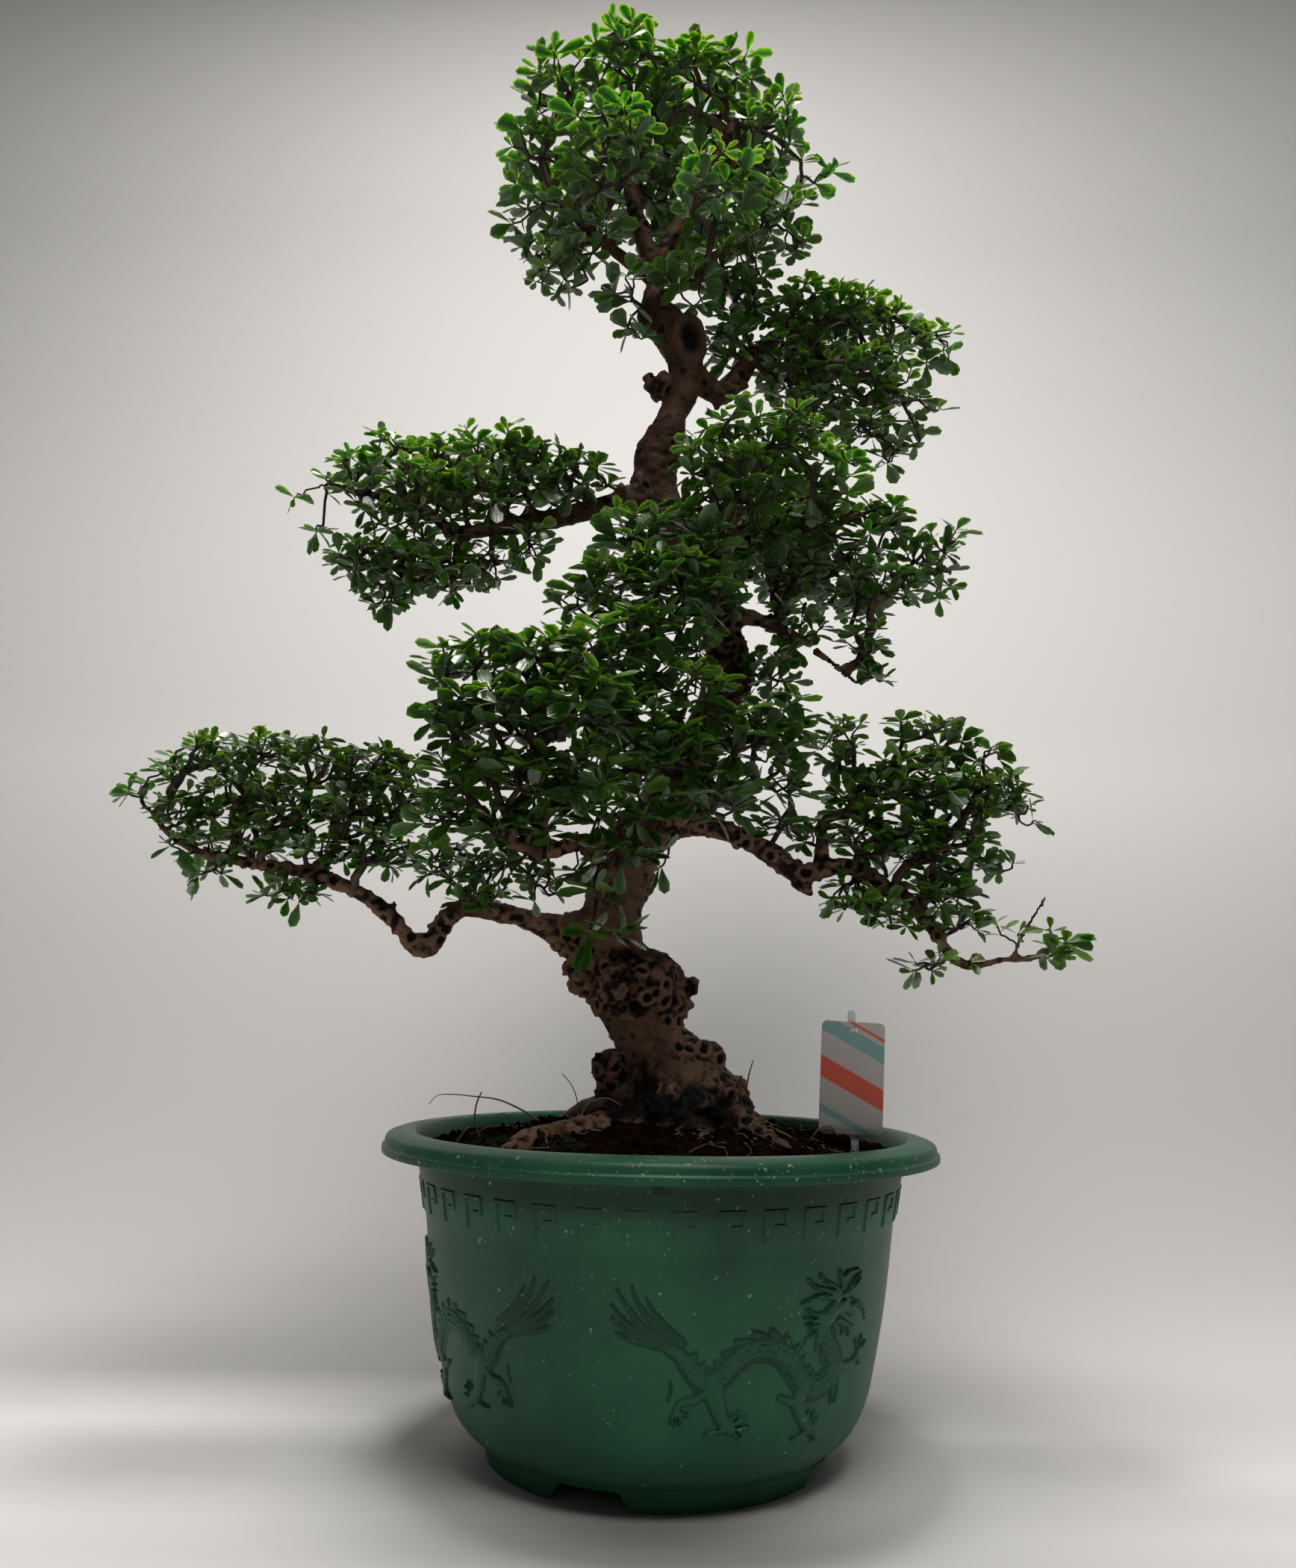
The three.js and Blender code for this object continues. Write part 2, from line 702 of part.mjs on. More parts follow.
const bonsai = new THREE.Group();
const wood = woodSolid(0);
const grownWood = woodSolid(GAP);
const stake = stakeSolid(0);
const soil = soilSolid().subtract(grownWood).subtract(stakeSolid(GAP));

addPiece(bonsai, "pot", potSolid(), "#2c5f4c", 0.5);
addPiece(bonsai, "soil", largestBody(soil), "#2a211c", 0.95);
addPiece(bonsai, "trunk", wood, "#6f5548", 0.8);
addPiece(bonsai, "label_card", cardSolid(), "#c9cfc8", 0.4);
addPiece(bonsai, "label_stake", stake, "#d8dcd8", 0.35);

const others = [wood, stake];
PADS.forEach((pad, index) => {
  const leaves = padSolid(pad, grownWood, others, 11 + index);
  others.push(leaves);
  addPiece(bonsai, pad.name, leaves, pad.colour, 0.45);
});

// The middle of the box goes over the origin
const box = new THREE.Box3().setFromObject(bonsai);
const middle = box.getCenter(new THREE.Vector3());
bonsai.position.set(-middle.x, -middle.y, -box.min.z);

const part = new THREE.Group();
part.add(bonsai);
export default part;
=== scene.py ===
# A fukien tea bonsai in its round plastic pot with a plant label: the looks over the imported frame.
# Places and sizes in the lists are in millimetres, from the pot's axis and the surface it stands on.

import itertools
import math

import bpy
import bmesh
import numpy as np
from bpy.props import FloatProperty, FloatVectorProperty, IntProperty, PointerProperty
from mathutils import Matrix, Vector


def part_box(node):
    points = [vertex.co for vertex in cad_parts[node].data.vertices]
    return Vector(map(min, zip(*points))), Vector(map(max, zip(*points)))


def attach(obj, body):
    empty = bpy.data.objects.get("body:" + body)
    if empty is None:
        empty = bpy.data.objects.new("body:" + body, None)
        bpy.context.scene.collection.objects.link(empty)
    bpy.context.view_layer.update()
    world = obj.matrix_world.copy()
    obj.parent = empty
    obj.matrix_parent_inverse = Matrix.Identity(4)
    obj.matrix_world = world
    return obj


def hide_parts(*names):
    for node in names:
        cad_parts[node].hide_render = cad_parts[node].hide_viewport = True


bl_info = {
    "name": "Fukien Tea Bonsai",
    "version": (1, 0, 0),
    "blender": (4, 5, 0),
    "location": "3D View > Sidebar > Bonsai",
    "description": "Builds the bonsai's pot, soil, wood, leaves and label over its frame",
    "category": "Add Mesh",
}

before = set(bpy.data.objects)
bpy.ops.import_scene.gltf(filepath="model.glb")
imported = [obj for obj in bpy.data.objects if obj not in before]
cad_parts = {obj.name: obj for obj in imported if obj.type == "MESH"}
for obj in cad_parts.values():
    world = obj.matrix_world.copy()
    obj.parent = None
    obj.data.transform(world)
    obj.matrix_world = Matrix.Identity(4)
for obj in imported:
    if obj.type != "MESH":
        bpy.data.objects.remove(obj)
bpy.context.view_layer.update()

MM = 0.001
POT_LOW, POT_HIGH = (np.array(corner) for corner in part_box("pot"))
POT_AXIS = np.array([*(POT_LOW + POT_HIGH)[:2] / 2, 0.0])
BODY = "root"

# Wood: each route is [x, y, z, half width] along a stem's middle
TRUNK = [
    [16, 4, 160, 34], [14, 2, 200, 50], [13, 0, 229, 51], [6, 0, 255, 38], [-4, 0, 277, 27],
    [-11, 0, 293, 28], [-21, 0, 316, 36], [-37, 0, 343, 24], [-38, 0, 387, 23], [-28, 0, 422, 24],
    [-7, 0, 454, 18], [22, 5, 506, 15], [45, 10, 556, 17], [42, 15, 601, 16], [23, 15, 651, 14],
    [5, 10, 684, 14], [-13, 5, 724, 17], [-12, 2, 748, 17], [-4, 0, 768, 15], [1, 0, 785, 12],
    [11, 0, 810, 13], [9, 0, 834, 15], [-3, 0, 860, 16], [-16, 0, 879, 11], [-16, 0, 895, 7.5],
    [-16, 0, 910, 8], [-24, 0, 935, 8], [-36, 0, 975, 6], [-44, 0, 1010, 4],
]
LIMBS = [
    [[-40, 0, 370, 17], [-60, -5, 364, 13], [-82, -10, 362, 10], [-106, -13, 369, 7], [-131, -16, 373, 7],
     [-149, -18, 375, 7], [-160, -20, 368, 6.5], [-168, -20, 355, 6.5], [-176, -20, 343, 6],
     [-185, -20, 346, 5.5], [-194, -20, 358, 5.5], [-207, -20, 371, 5.5], [-231, -20, 386, 5],
     [-274, -20, 400, 4.5], [-315, -20, 406, 4], [-347, -20, 412, 3], [-373, -20, 426, 2.5],
     [-389, -20, 444, 2]],
    [[-34, 0, 394, 12], [-44, -30, 402, 8], [-57, -60, 420, 6], [-84, -80, 410, 4.5], [-112, -92, 414, 3.5]],
    [[-8, 4, 716, 14], [-28, -2, 708, 11], [-55, -10, 697, 8.5], [-96, -15, 684, 7.5], [-137, -20, 674, 6.5],
     [-169, -20, 671, 5], [-205, -20, 694, 4], [-244, -20, 700, 3], [-270, -20, 708, 2.5]],
    [[-18, 0, 432, 16], [13, 0, 443, 10], [49, 0, 439, 7.5], [69, 0, 429, 7.5], [85, 0, 419, 7.5],
     [100, 0, 409, 7], [117, 0, 410, 6], [120, 0, 424, 5], [120, 0, 448, 4]],
    [[108, 0, 406, 6.5], [124, 0, 412, 6.5], [139, 0, 414, 6], [155, 0, 407, 6.5], [171, 0, 396, 6],
     [191, 0, 384, 5.5], [204, 0, 367, 5], [213, 0, 352, 4], [229, 0, 340, 3.5], [256, 0, 345, 2.5],
     [279, 0, 347, 2.5], [292, 0, 353, 2]],
    [[264, 0, 346, 2], [270, 0, 361, 1.6], [277, 0, 372, 1.7], [285, 0, 385, 1.4], [291, 0, 393, 1.3]],
    [[115, 0, 585, 3], [132, 0, 573, 1.8], [148, 0, 559, 2]],
    [[40, 12, 600, 14], [59, 4, 612, 7], [84, 0, 604, 4.5], [112, 0, 590, 3]],
    [[20, 14, 655, 11], [34, -14, 662, 7], [46, -40, 672, 5], [52, -60, 684, 4]],
    [[8, 0, 826, 13], [24, 8, 816, 11], [42, 20, 814, 10], [72, 30, 858, 7], [96, 30, 880, 5]],
    [[28, 14, 640, 10], [12, -16, 634, 6], [-6, -42, 630, 4]],
    [[-16, 0, 446, 13], [0, -28, 440, 8], [16, -48, 446, 5]],
    [[8, 10, 680, 12], [22, 48, 694, 7], [40, 84, 700, 5]],
    [[12, 4, 492, 13], [0, 46, 496, 7], [-12, 84, 500, 5]],
    [[-16, 0, 908, 7], [2, -6, 952, 6], [28, -8, 1005, 5], [48, -10, 1046, 3.5]],
    [[-18, 0, 905, 6], [-46, -8, 922, 5], [-76, -14, 944, 4], [-104, -10, 975, 3]],
]
ROOTS = [
    [[2, -14, 228, 20], [-38, -38, 219, 12], [-68, -62, 217, 9], [-92, -90, 214, 7], [-112, -110, 196, 5]],
    [[30, 4, 228, 18], [62, 12, 218, 12], [94, 24, 208, 8], [114, 32, 194, 5]],
    [[18, -20, 228, 17], [28, -52, 216, 10], [34, -84, 204, 7], [36, -104, 190, 5]],
    [[12, 26, 232, 20], [2, 64, 224, 12], [-12, 94, 210, 8], [-18, 110, 194, 5]],
    [[-18, 12, 232, 18], [-54, 32, 224, 11], [-84, 48, 208, 7], [-98, 54, 194, 5]],
    [[36, -18, 226, 17], [66, -44, 217, 9], [92, -72, 202, 6], [104, -84, 190, 5]],
]
BURLS = [
    [-54, -4, 325, 17], [-28, -24, 320, 18], [6, -8, 308, 15], [-24, 24, 324, 18], [30, -6, 268, 13],
    [-41, -2, 264, 10], [50, -4, 238, 13], [-74, -6, 352, 10], [-178, -20, 350, 7], [52, 4, 554, 15],
    [-18, 2, 726, 15], [-9, -2, 806, 11], [10, -7, 852, 15], [12, -7, 838, 14], [-19, -1, 870, 11],
    [-24, 8, 398, 16], [104, 0, 401, 8],
]
# Short dead stubs and spurs, as routes
SPURS = [
    [[-30, -2, 250, 9], [-40, -3, 256, 7], [-46, -2, 264, 5.5], [-47, -2, 272, 3]],
    [[-26, -4, 240, 9], [-42, -6, 243, 6], [-49, -7, 240, 3]],
    [[-52, -4, 326, 13], [-66, -4, 330, 7], [-76, -4, 334, 2.5]],
    [[4, -6, 314, 13], [15, -8, 317, 8], [24, -8, 321, 3]],
    [[28, -6, 262, 12], [38, -6, 272, 9], [44, -7, 276, 4]],
    [[-8, -2, 800, 9], [-17, -4, 808, 6], [-20, -4, 818, 2.5]],
    [[-74, -8, 352, 8], [-66, -14, 342, 5], [-62, -16, 336, 2.5]],
    [[104, 0, 402, 7], [108, -4, 396, 4], [111, -5, 390, 2]],
]
# Where the bark is dark and knobbly, each [x, y, z, reach]
ROUGH_BARK = [
    [-58, -4, 329, 26], [-28, -28, 322, 27], [8, -12, 318, 27], [-24, 24, 326, 28], [32, -6, 272, 20],
    [-43, -2, 262, 22], [64, -4, 236, 26], [-74, -6, 348, 18], [-166, -20, 346, 26], [-200, -20, 366, 30],
    [-240, -20, 395, 30], [-290, -20, 403, 28], [54, 4, 552, 26], [48, 8, 584, 20], [-26, 0, 716, 15],
    [-14, -2, 808, 16], [-14, 14, 400, 18], [113, 0, 402, 28], [88, 0, 418, 20], [150, 0, 416, 26],
    [196, 0, 380, 24], [212, 0, 350, 22], [-6, -38, 232, 22], [40, -34, 232, 20], [-40, 0, 382, 9],
    [56, -34, 242, 30], [76, -50, 226, 26], [-48, -46, 222, 18], [-86, -80, 216, 12], [-96, -60, 424, 16],
    [-236, -20, 700, 18], [-170, -20, 672, 14], [20, -24, 282, 12], [44, 8, 610, 16],
]
# Where the wood is sunk in and darkened with painted shade: [x, y, z, half width, half height, depth]
HOLLOWS = [
    [-17, -42, 253, 21, 24, 5], [-30, -44, 236, 20, 13, 2], [4, -48, 233, 26, 14, 1],
    [36, -44, 230, 22, 11, 1], [20, -48, 243, 13, 11, 1], [44, -30, 238, 9, 7, 2.5], [-30, -34, 318, 6, 6, 3],
    [-8, -38, 322, 5, 6, 3],
]
SCAR = {"middle": [15, -22, 842], "facing": [0.3, -0.95, 0.02], "lean": 14, "half_size": (10.5, 18)}

# Leafy pads: the node each stands for, its leaves' size, how open it is, its share of new leaves and of
# painted light on its top, where its limb ends, and its lobes [x, y, z, half width, half height]
PAD_FIELDS = ("node", "leaf", "open", "young", "from", "lobes")
PADS = [dict(zip(PAD_FIELDS, pad)) for pad in (
    ("leaves_crown", 0.98, 1.16, 0.6, [-42, 0, 1010], [
        [-41, 0, 1095, 43, 31], [-50, -5, 1129, 22, 18], [-100, -10, 1078, 32, 26], [-118, 0, 1026, 29, 28],
        [-121, -10, 959, 25, 27], [-113, 10, 934, 25, 23], [-71, -20, 925, 26, 25], [-56, -62, 983, 39, 28],
        [14, -5, 1076, 42, 31], [49, -8, 1098, 21, 21], [77, 0, 1043, 32, 28], [108, 5, 1008, 23, 21],
        [86, 0, 959, 29, 28], [26, -62, 940, 36, 26], [-35, 76, 1107, 46, 36], [-2, 84, 1017, 47, 38],
        [-94, 72, 1025, 36, 34], [59, 70, 1035, 38, 32], [13, -26, 887, 27, 20], [55, 16, 926, 28, 21],
        [-38, -14, 884, 18, 20], [-31, -14, 848, 16, 20], [-65, 40, 992, 28, 19], [-101, -5, 901, 26, 14],
        [102, 0, 935, 16, 12], [128, 0, 1006, 10, 7], [96, 0, 1075, 15, 12]]),
    ("leaves_upper_right", 0.86, 1.08, 0.35, [96, 30, 880], [
        [55, 30, 907, 26, 20], [52, 36, 864, 24, 26], [113, 20, 886, 33, 21], [153, 20, 894, 27, 17],
        [182, 20, 868, 29, 24], [212, 15, 856, 13, 19], [104, 40, 852, 34, 27], [151, 20, 828, 32, 20],
        [194, 20, 808, 24, 18], [185, 34, 769, 19, 14], [124, 50, 809, 33, 18], [128, 84, 892, 37, 31],
        [163, 20, 783, 21, 14], [210, 30, 780, 11, 11], [224, 20, 872, 8, 11], [224, 20, 798, 7, 10],
        [233, 20, 862, 12, 19]]),
    ("leaves_right_front", 0.94, 1.06, 0.65, [52, -60, 684], [
        [51, -86, 726, 31, 21], [91, -82, 722, 29, 21], [121, -62, 700, 28, 23], [20, -78, 708, 22, 22],
        [57, -76, 690, 32, 24], [25, -60, 671, 24, 21]]),
    ("leaves_right_middle", 0.86, 1.06, 0.25, [112, 0, 588], [
        [166, 0, 688, 26, 22], [204, 8, 669, 18, 16], [167, 0, 638, 31, 24], [154, 0, 589, 18, 19],
        [97, 0, 653, 32, 25], [111, 0, 692, 31, 24], [99, 0, 602, 27, 23], [81, -6, 563, 23, 16],
        [61, -18, 679, 26, 24], [99, 64, 718, 33, 31], [144, 62, 668, 33, 28], [220, 0, 675, 18, 14],
        [218, 0, 646, 14, 20], [160, 0, 563, 15, 11]]),
    ("leaves_upper_left", 0.78, 1.05, 0.3, [-205, -20, 694], [
        [-217, -22, 730, 28, 16], [-184, 18, 747, 31, 18], [-141, -24, 729, 29, 16], [-106, -26, 728, 27, 15],
        [-75, -28, 717, 23, 17], [-52, -22, 709, 12, 9], [-249, -20, 718, 21, 13], [-274, -20, 707, 14, 7],
        [-197, -34, 700, 30, 17], [-151, -34, 699, 29, 16], [-244, -24, 694, 19, 14],
        [-279, -20, 672, 10, 10], [-210, -26, 674, 28, 15], [-169, -24, 669, 19, 14],
        [-109, -24, 659, 18, 15], [-296, -20, 699, 8, 4], [-116, -20, 708, 26, 14], [-85, -20, 703, 22, 11],
        [-140, -26, 687, 24, 10]]),
    ("leaves_upper_left_low", 0.8, 1, 0, [-160, -20, 668], [
        [-244, -20, 643, 27, 15], [-203, -24, 638, 30, 15], [-222, -20, 615, 20, 13],
        [-171, -24, 632, 26, 16], [-142, -24, 644, 22, 16]]),
    ("leaves_middle", 1.04, 0.9, 0.35, [-112, -92, 414], [
        [-131, -112, 539, 27, 19], [-156, -106, 530, 18, 25], [-91, -124, 536, 30, 18],
        [-52, -116, 544, 29, 19], [-21, -100, 541, 25, 22], [-148, -108, 497, 23, 23],
        [-104, -132, 498, 33, 23], [-56, -128, 501, 33, 24], [-21, -106, 499, 23, 23],
        [-137, -112, 456, 29, 19], [-97, -122, 454, 28, 21], [-58, -118, 457, 27, 21],
        [-156, -104, 430, 21, 17], [-120, -96, 424, 27, 16], [-87, -100, 424, 23, 16],
        [-54, -104, 439, 18, 12]]),
    ("leaves_middle_top", 1, 0.95, 0.3, [-6, -42, 630], [
        [-26, -66, 650, 26, 19], [-69, -62, 596, 21, 16], [-40, -72, 606, 27, 22], [1, -80, 610, 29, 25],
        [30, -62, 639, 25, 27], [38, -62, 598, 21, 19], [-20, -92, 570, 31, 15], [11, -74, 565, 23, 23]]),
    ("leaves_trunk_front", 1.04, 0.95, 0.45, [16, -48, 446], [
        [18, -90, 524, 28, 19], [51, -76, 497, 29, 21], [80, -58, 474, 25, 27], [81, -66, 513, 25, 22],
        [2, -92, 480, 29, 23], [35, -72, 453, 30, 19], [-15, -86, 440, 19, 18], [83, -24, 439, 21, 10],
        [0, -44, 412, 12, 14]]),
    ("leaves_lower_left", 0.74, 1.08, 0.15, [-262, -20, 402], [
        [-375, -20, 473, 19, 15], [-342, -20, 483, 25, 18], [-308, -20, 486, 26, 17],
        [-273, -20, 490, 25, 16], [-239, -20, 476, 25, 17], [-366, -20, 443, 21, 18],
        [-327, -20, 451, 28, 21], [-283, -20, 450, 28, 21], [-237, -20, 444, 28, 21],
        [-202, -32, 457, 23, 21], [-352, -20, 417, 22, 12], [-308, -20, 421, 27, 16],
        [-258, -20, 416, 26, 15], [-208, -26, 415, 25, 20], [-157, -52, 403, 25, 20],
        [-124, -52, 397, 21, 17], [-279, -20, 384, 24, 12], [-340, -20, 398, 16, 5], [-397, -20, 458, 13, 13],
        [-138, -24, 379, 24, 11], [-103, -62, 407, 21, 16], [-221, -20, 484, 23, 10],
        [-194, -26, 477, 18, 11], [-87, -60, 386, 18, 14]]),
    ("leaves_lower_right", 0.84, 0.95, 0.25, [120, 0, 448], [
        [134, 0, 506, 19, 22], [183, 0, 518, 10, 19], [216, 0, 518, 20, 16], [247, 0, 501, 16, 12],
        [172, 0, 477, 27, 22], [207, 0, 481, 28, 24], [235, 0, 464, 24, 23], [262, 0, 473, 17, 18],
        [280, 0, 457, 12, 15], [144, 0, 465, 20, 22], [154, 0, 432, 24, 21], [190, 0, 432, 28, 23],
        [229, 0, 426, 25, 22], [208, 0, 395, 24, 19], [228, 0, 372, 15, 14], [128, -6, 391, 12, 6],
        [258, 0, 416, 13, 8], [114, -10, 436, 16, 16], [142, 0, 400, 18, 11], [154, 0, 383, 25, 14],
        [182, 0, 375, 20, 14]]),
    ("leaves_lower_right_tip", 0.98, 1, 0.5, [288, 0, 348], [
        [296, 0, 361, 18, 16], [287, 0, 348, 14, 8], [262, 0, 360, 15, 10]]),
    ("leaves_lower_right_low", 0.84, 1, 0.1, [207, 0, 357], [
        [195, -10, 339, 19, 10], [225, -6, 344, 11, 9]]),
    ("leaves_trunk_low", 1.3, 1, 0.4, [-30, -24, 376], [
        [-43, -78, 433, 22, 17], [-36, -70, 407, 21, 15], [-49, -60, 380, 19, 12], [-66, -62, 400, 13, 17],
        [-44, -72, 355, 24, 11]]),
    ("leaves_back_upper", 1, 1, 0.2, [40, 84, 700], [
        [46, 110, 714, 40, 34], [100, 112, 702, 36, 30]]),
    ("leaves_back_lower", 1, 1, 0.1, [-12, 84, 500], [
        [-34, 112, 516, 40, 34], [26, 112, 500, 36, 32]]),
)]
YOUNG_PADS = ("leaves_crown", "leaves_right_front", "leaves_trunk_front", "leaves_lower_right_tip")

LOBE_DEPTH = 1.4  # how much deeper than wide a lobe is

# One leaf blade of length 1: [along, half width] at each station between its root and its tip
LEAF_STATIONS = [[0.26, 0.09], [0.58, 0.22], [0.87, 0.2]]
LEAF_FOLD = 0.22
LEAF_THICKNESS = 0.014

# Pot outside, from the foot's inner edge up over the rim and down inside: [radius, height, fillet]
POT_OUTSIDE = [
    [113, 14, 1], [113, 0, 0.8], [118, 0, 0.8], [120, 13.5, 0.6], [124, 14.5, 2], [138, 25, 9],
    [147.5, 44, 12], [155, 78, 20], [161, 114, 20], [167, 162.5, 0.5], [168.5, 163.2, 0.6], [173.4, 192, 12],
    [176, 209.5, 2.2], [196.4, 209.8, 1.2], [196.6, 202, 0.5], [200, 202, 0.9], [200, 206.6, 0.8],
    [198.3, 207.6, 0.7], [197.6, 213.2, 3.6], [186, 217, 5], [177.5, 216.6, 4], [174.6, 211, 2],
    [170, 195, 4], [162.5, 150, 8], [157, 114, 8], [150.5, 74, 8], [142.5, 44, 8], [132, 28, 6], [116, 18, 2],
]
POT_WALL = slice(4, 13)  # the corners of its wall, from the foot up to the lip
POT_FLOOR = 14
POT_FLOOR_TOP = 18
POT_COLUMNS = 224
LONGEST_SPAN = 9  # between two rings of the wall
DRAIN_HOLES = 4
DRAIN_RADIUS = 7
DRAIN_CIRCLE = 70
NOTCHES = 4
NOTCH_DEGREES = 27
NOTCH_HEIGHT = 11.5
MOULD_TURN = -21.5  # degrees from the front to the middle of the pot's moulded front

# One hook of the fret band, as rectangles [left, bottom, right, top] from its lower left corner
HOOK = [[0, 0, 3, 21], [0, 18, 17.5, 21], [14.5, 9, 17.5, 21], [8.5, 9, 17.5, 12]]
HOOK_FOOT = 164
HOOK_BEVEL = 0.7
HOOK_AT = 30.5  # degrees from the front to the left side of one hook
FADED_AT = -4  # degrees from the front, where the mould is worn
FADED_SPREAD = 26

# Dragon: its body as [degrees from the front, height, half width], and its strokes as
# [half width at the start and at the end, how proud, then degrees and height of each point]
DRAGON_BODY = [
    [0, 108, 3.6], [4, 101, 4.8], [6.2, 93, 5.6], [8.6, 86, 6.6], [11.3, 84.5, 7.2], [14, 89, 7.4],
    [16.6, 96, 7.4], [19.8, 101.5, 7.6], [23.8, 102.5, 7.8], [28, 97.5, 7.6], [31.6, 87, 7.4],
    [34.6, 78, 7.2], [38.4, 73.5, 7.4], [42.6, 76.5, 7.8], [44.8, 84, 8], [43.6, 93, 7.6], [40.8, 102, 7],
    [39.2, 110, 6.4], [40.4, 117, 5.6],
]
DRAGON_STROKES = [
    [3.4, 0.6, 0.42, 1, 108, -3.4, 116, -7, 128, -9.6, 139],
    [3.4, 0.6, 0.42, 1, 108, -3.6, 113, -8, 121, -10.8, 130],
    [3.2, 0.6, 0.42, 1, 107, -4, 111, -8, 116, -10.6, 122],
    [3, 0.6, 0.42, 1, 106, -4, 108, -7, 110, -9.4, 113],
    [3.2, 0.6, 0.42, 3, 110, -1.4, 119, -5, 131, -6.4, 141],
    [2.8, 0.6, 0.42, 4.6, 108, 1.6, 116, -1.6, 126, -3.4, 134],
    [7, 3.4, 0.95, 11.4, 84, 12.4, 74, 14, 64, 15.6, 57.5], [2.2, 0.8, 1, 15.4, 58, 18, 57, 20.6, 57.5],
    [2, 0.8, 1, 15.6, 59, 17.8, 61, 19.8, 63.5], [2, 0.8, 1, 15.4, 60, 16.6, 64, 18, 67],
    [2, 0.8, 1, 15.6, 57, 17.4, 54, 19, 51.5], [2, 0.7, 1, 15, 57.5, 13, 56, 10.4, 55.6],
    [3, 2, 0.85, 9.6, 79, 7.4, 75, 4.6, 73.5, 3.6, 69], [1.4, 0.6, 1, 3.6, 69, 2.6, 65, 2.2, 61],
    [1.4, 0.6, 1, 3.6, 69, 3.6, 65, 3.3, 60], [1.4, 0.6, 1, 3.6, 69, 4.6, 65, 4.3, 61],
    [1.3, 0.6, 1, 3.6, 69, 5.4, 67, 6.4, 66.4], [0.8, 0.4, 0.6, 2.4, 86, 2.2, 80, 1.6, 74],
    [6, 3.2, 0.95, 34.8, 77, 33.4, 68, 35.4, 58, 38, 50], [1.6, 3, 0.8, 28, 73, 30.4, 70, 33.4, 67],
    [1.8, 0.8, 1, 37.6, 51, 37.4, 56, 37.2, 61], [1.8, 0.8, 1, 38, 51, 38.8, 56, 39.2, 60.5],
    [1.8, 0.8, 1, 38.2, 50, 40, 53, 41, 56], [1.8, 0.8, 1, 38.2, 49, 40, 46, 40.6, 42],
    [1.8, 0.7, 1, 37.6, 49, 35.6, 46.6, 33.2, 46],
    [3.2, 1.8, 0.9, 45.6, 85, 49.4, 83.5, 52.4, 85.5, 54, 90], [1.5, 0.6, 1, 54, 90, 52.8, 94, 51.8, 98],
    [1.5, 0.6, 1, 54, 90, 54.6, 95, 54.8, 99.5], [1.5, 0.6, 1, 54, 90, 56, 92, 57.4, 94.5],
    [1.3, 0.5, 0.9, 53, 86, 54.6, 83, 55.6, 80.5], [2.2, 0.6, 0.8, 46.4, 78, 46.8, 70, 46.4, 62],
    [1.8, 0.6, 0.8, 45, 76, 44.8, 68, 44.6, 62],
    [5.6, 3.4, 1.15, 40.4, 116, 42.6, 120.5, 46, 121, 49.4, 116.5],
    [2, 1.2, 1.25, 47, 119, 50, 121.5, 52.4, 119.5], [2.4, 1, 1.1, 43.6, 113.5, 47, 109.5, 49.6, 107],
    [1.4, 0.8, 1.3, 44.2, 123.6, 46.4, 125.4, 48.6, 124],
    [2, 0.9, 1.1, 40.8, 122, 43.4, 127.5, 47, 130, 51, 136],
    [2.6, 0.8, 1.05, 47, 129, 42, 128, 36.6, 130, 31.8, 127],
    [1.8, 0.6, 1, 42.6, 130, 38.6, 133.5, 35, 137, 33.4, 141],
    [1.6, 0.6, 1, 43.4, 131, 40.6, 136, 37.6, 140, 36.4, 144],
    [1.5, 0.6, 1, 44.4, 132, 43.6, 138, 42.8, 144.5], [1.3, 0.6, 1, 44, 139, 46.6, 142.4, 50, 142],
    [1.4, 0.6, 1, 47, 132, 49, 137, 51.6, 139.5], [2.4, 0.5, 0.95, 40.6, 119, 36.6, 119, 33.4, 123.5],
    [2.2, 0.5, 0.95, 40, 117, 36.4, 115.8, 32.6, 119], [2, 0.5, 0.95, 39.8, 114.5, 36.6, 112.8, 33.6, 114],
    [1.8, 0.5, 0.9, 39.6, 112, 37.2, 108.6, 35, 107.4], [1.4, 0.5, 0.95, 45, 111.5, 45.6, 107, 45.4, 103.5],
    [1.2, 0.5, 0.95, 47.2, 109, 48, 105, 48, 102], [1.4, 0.5, 0.95, 42.4, 112, 42.8, 107.4, 43.6, 104.6],
    [0.7, 0.4, 0.7, 35.6, 113, 34.2, 106, 32.4, 99], [0.7, 0.4, 0.7, 51.6, 119, 54.4, 115, 55.4, 109],
]
DRAGON_REACH = {"degrees": (-13, 60), "heights": (39, 147)}
DRAGON_TURN = -17.2  # degrees from the front to the middle between the two dragons
SCALE_SIZE = 4.3
BELLY = 0.62
SPINE_PITCH = 8

# Soil top, and its edge against the wall and under it: [radius, height]
SOIL_TOP = [[0, 224], [50, 224], [88, 219], [140, 209], [168, 205]]
SOIL_EDGE = [[170.6, 203], [170, 196], [150, 190]]
MOSS_PLACES = [
    [-112, -66, 34], [-136, -24, 22], [-92, -92, 20], [-60, -96, 16], [128, -78, 14],
]
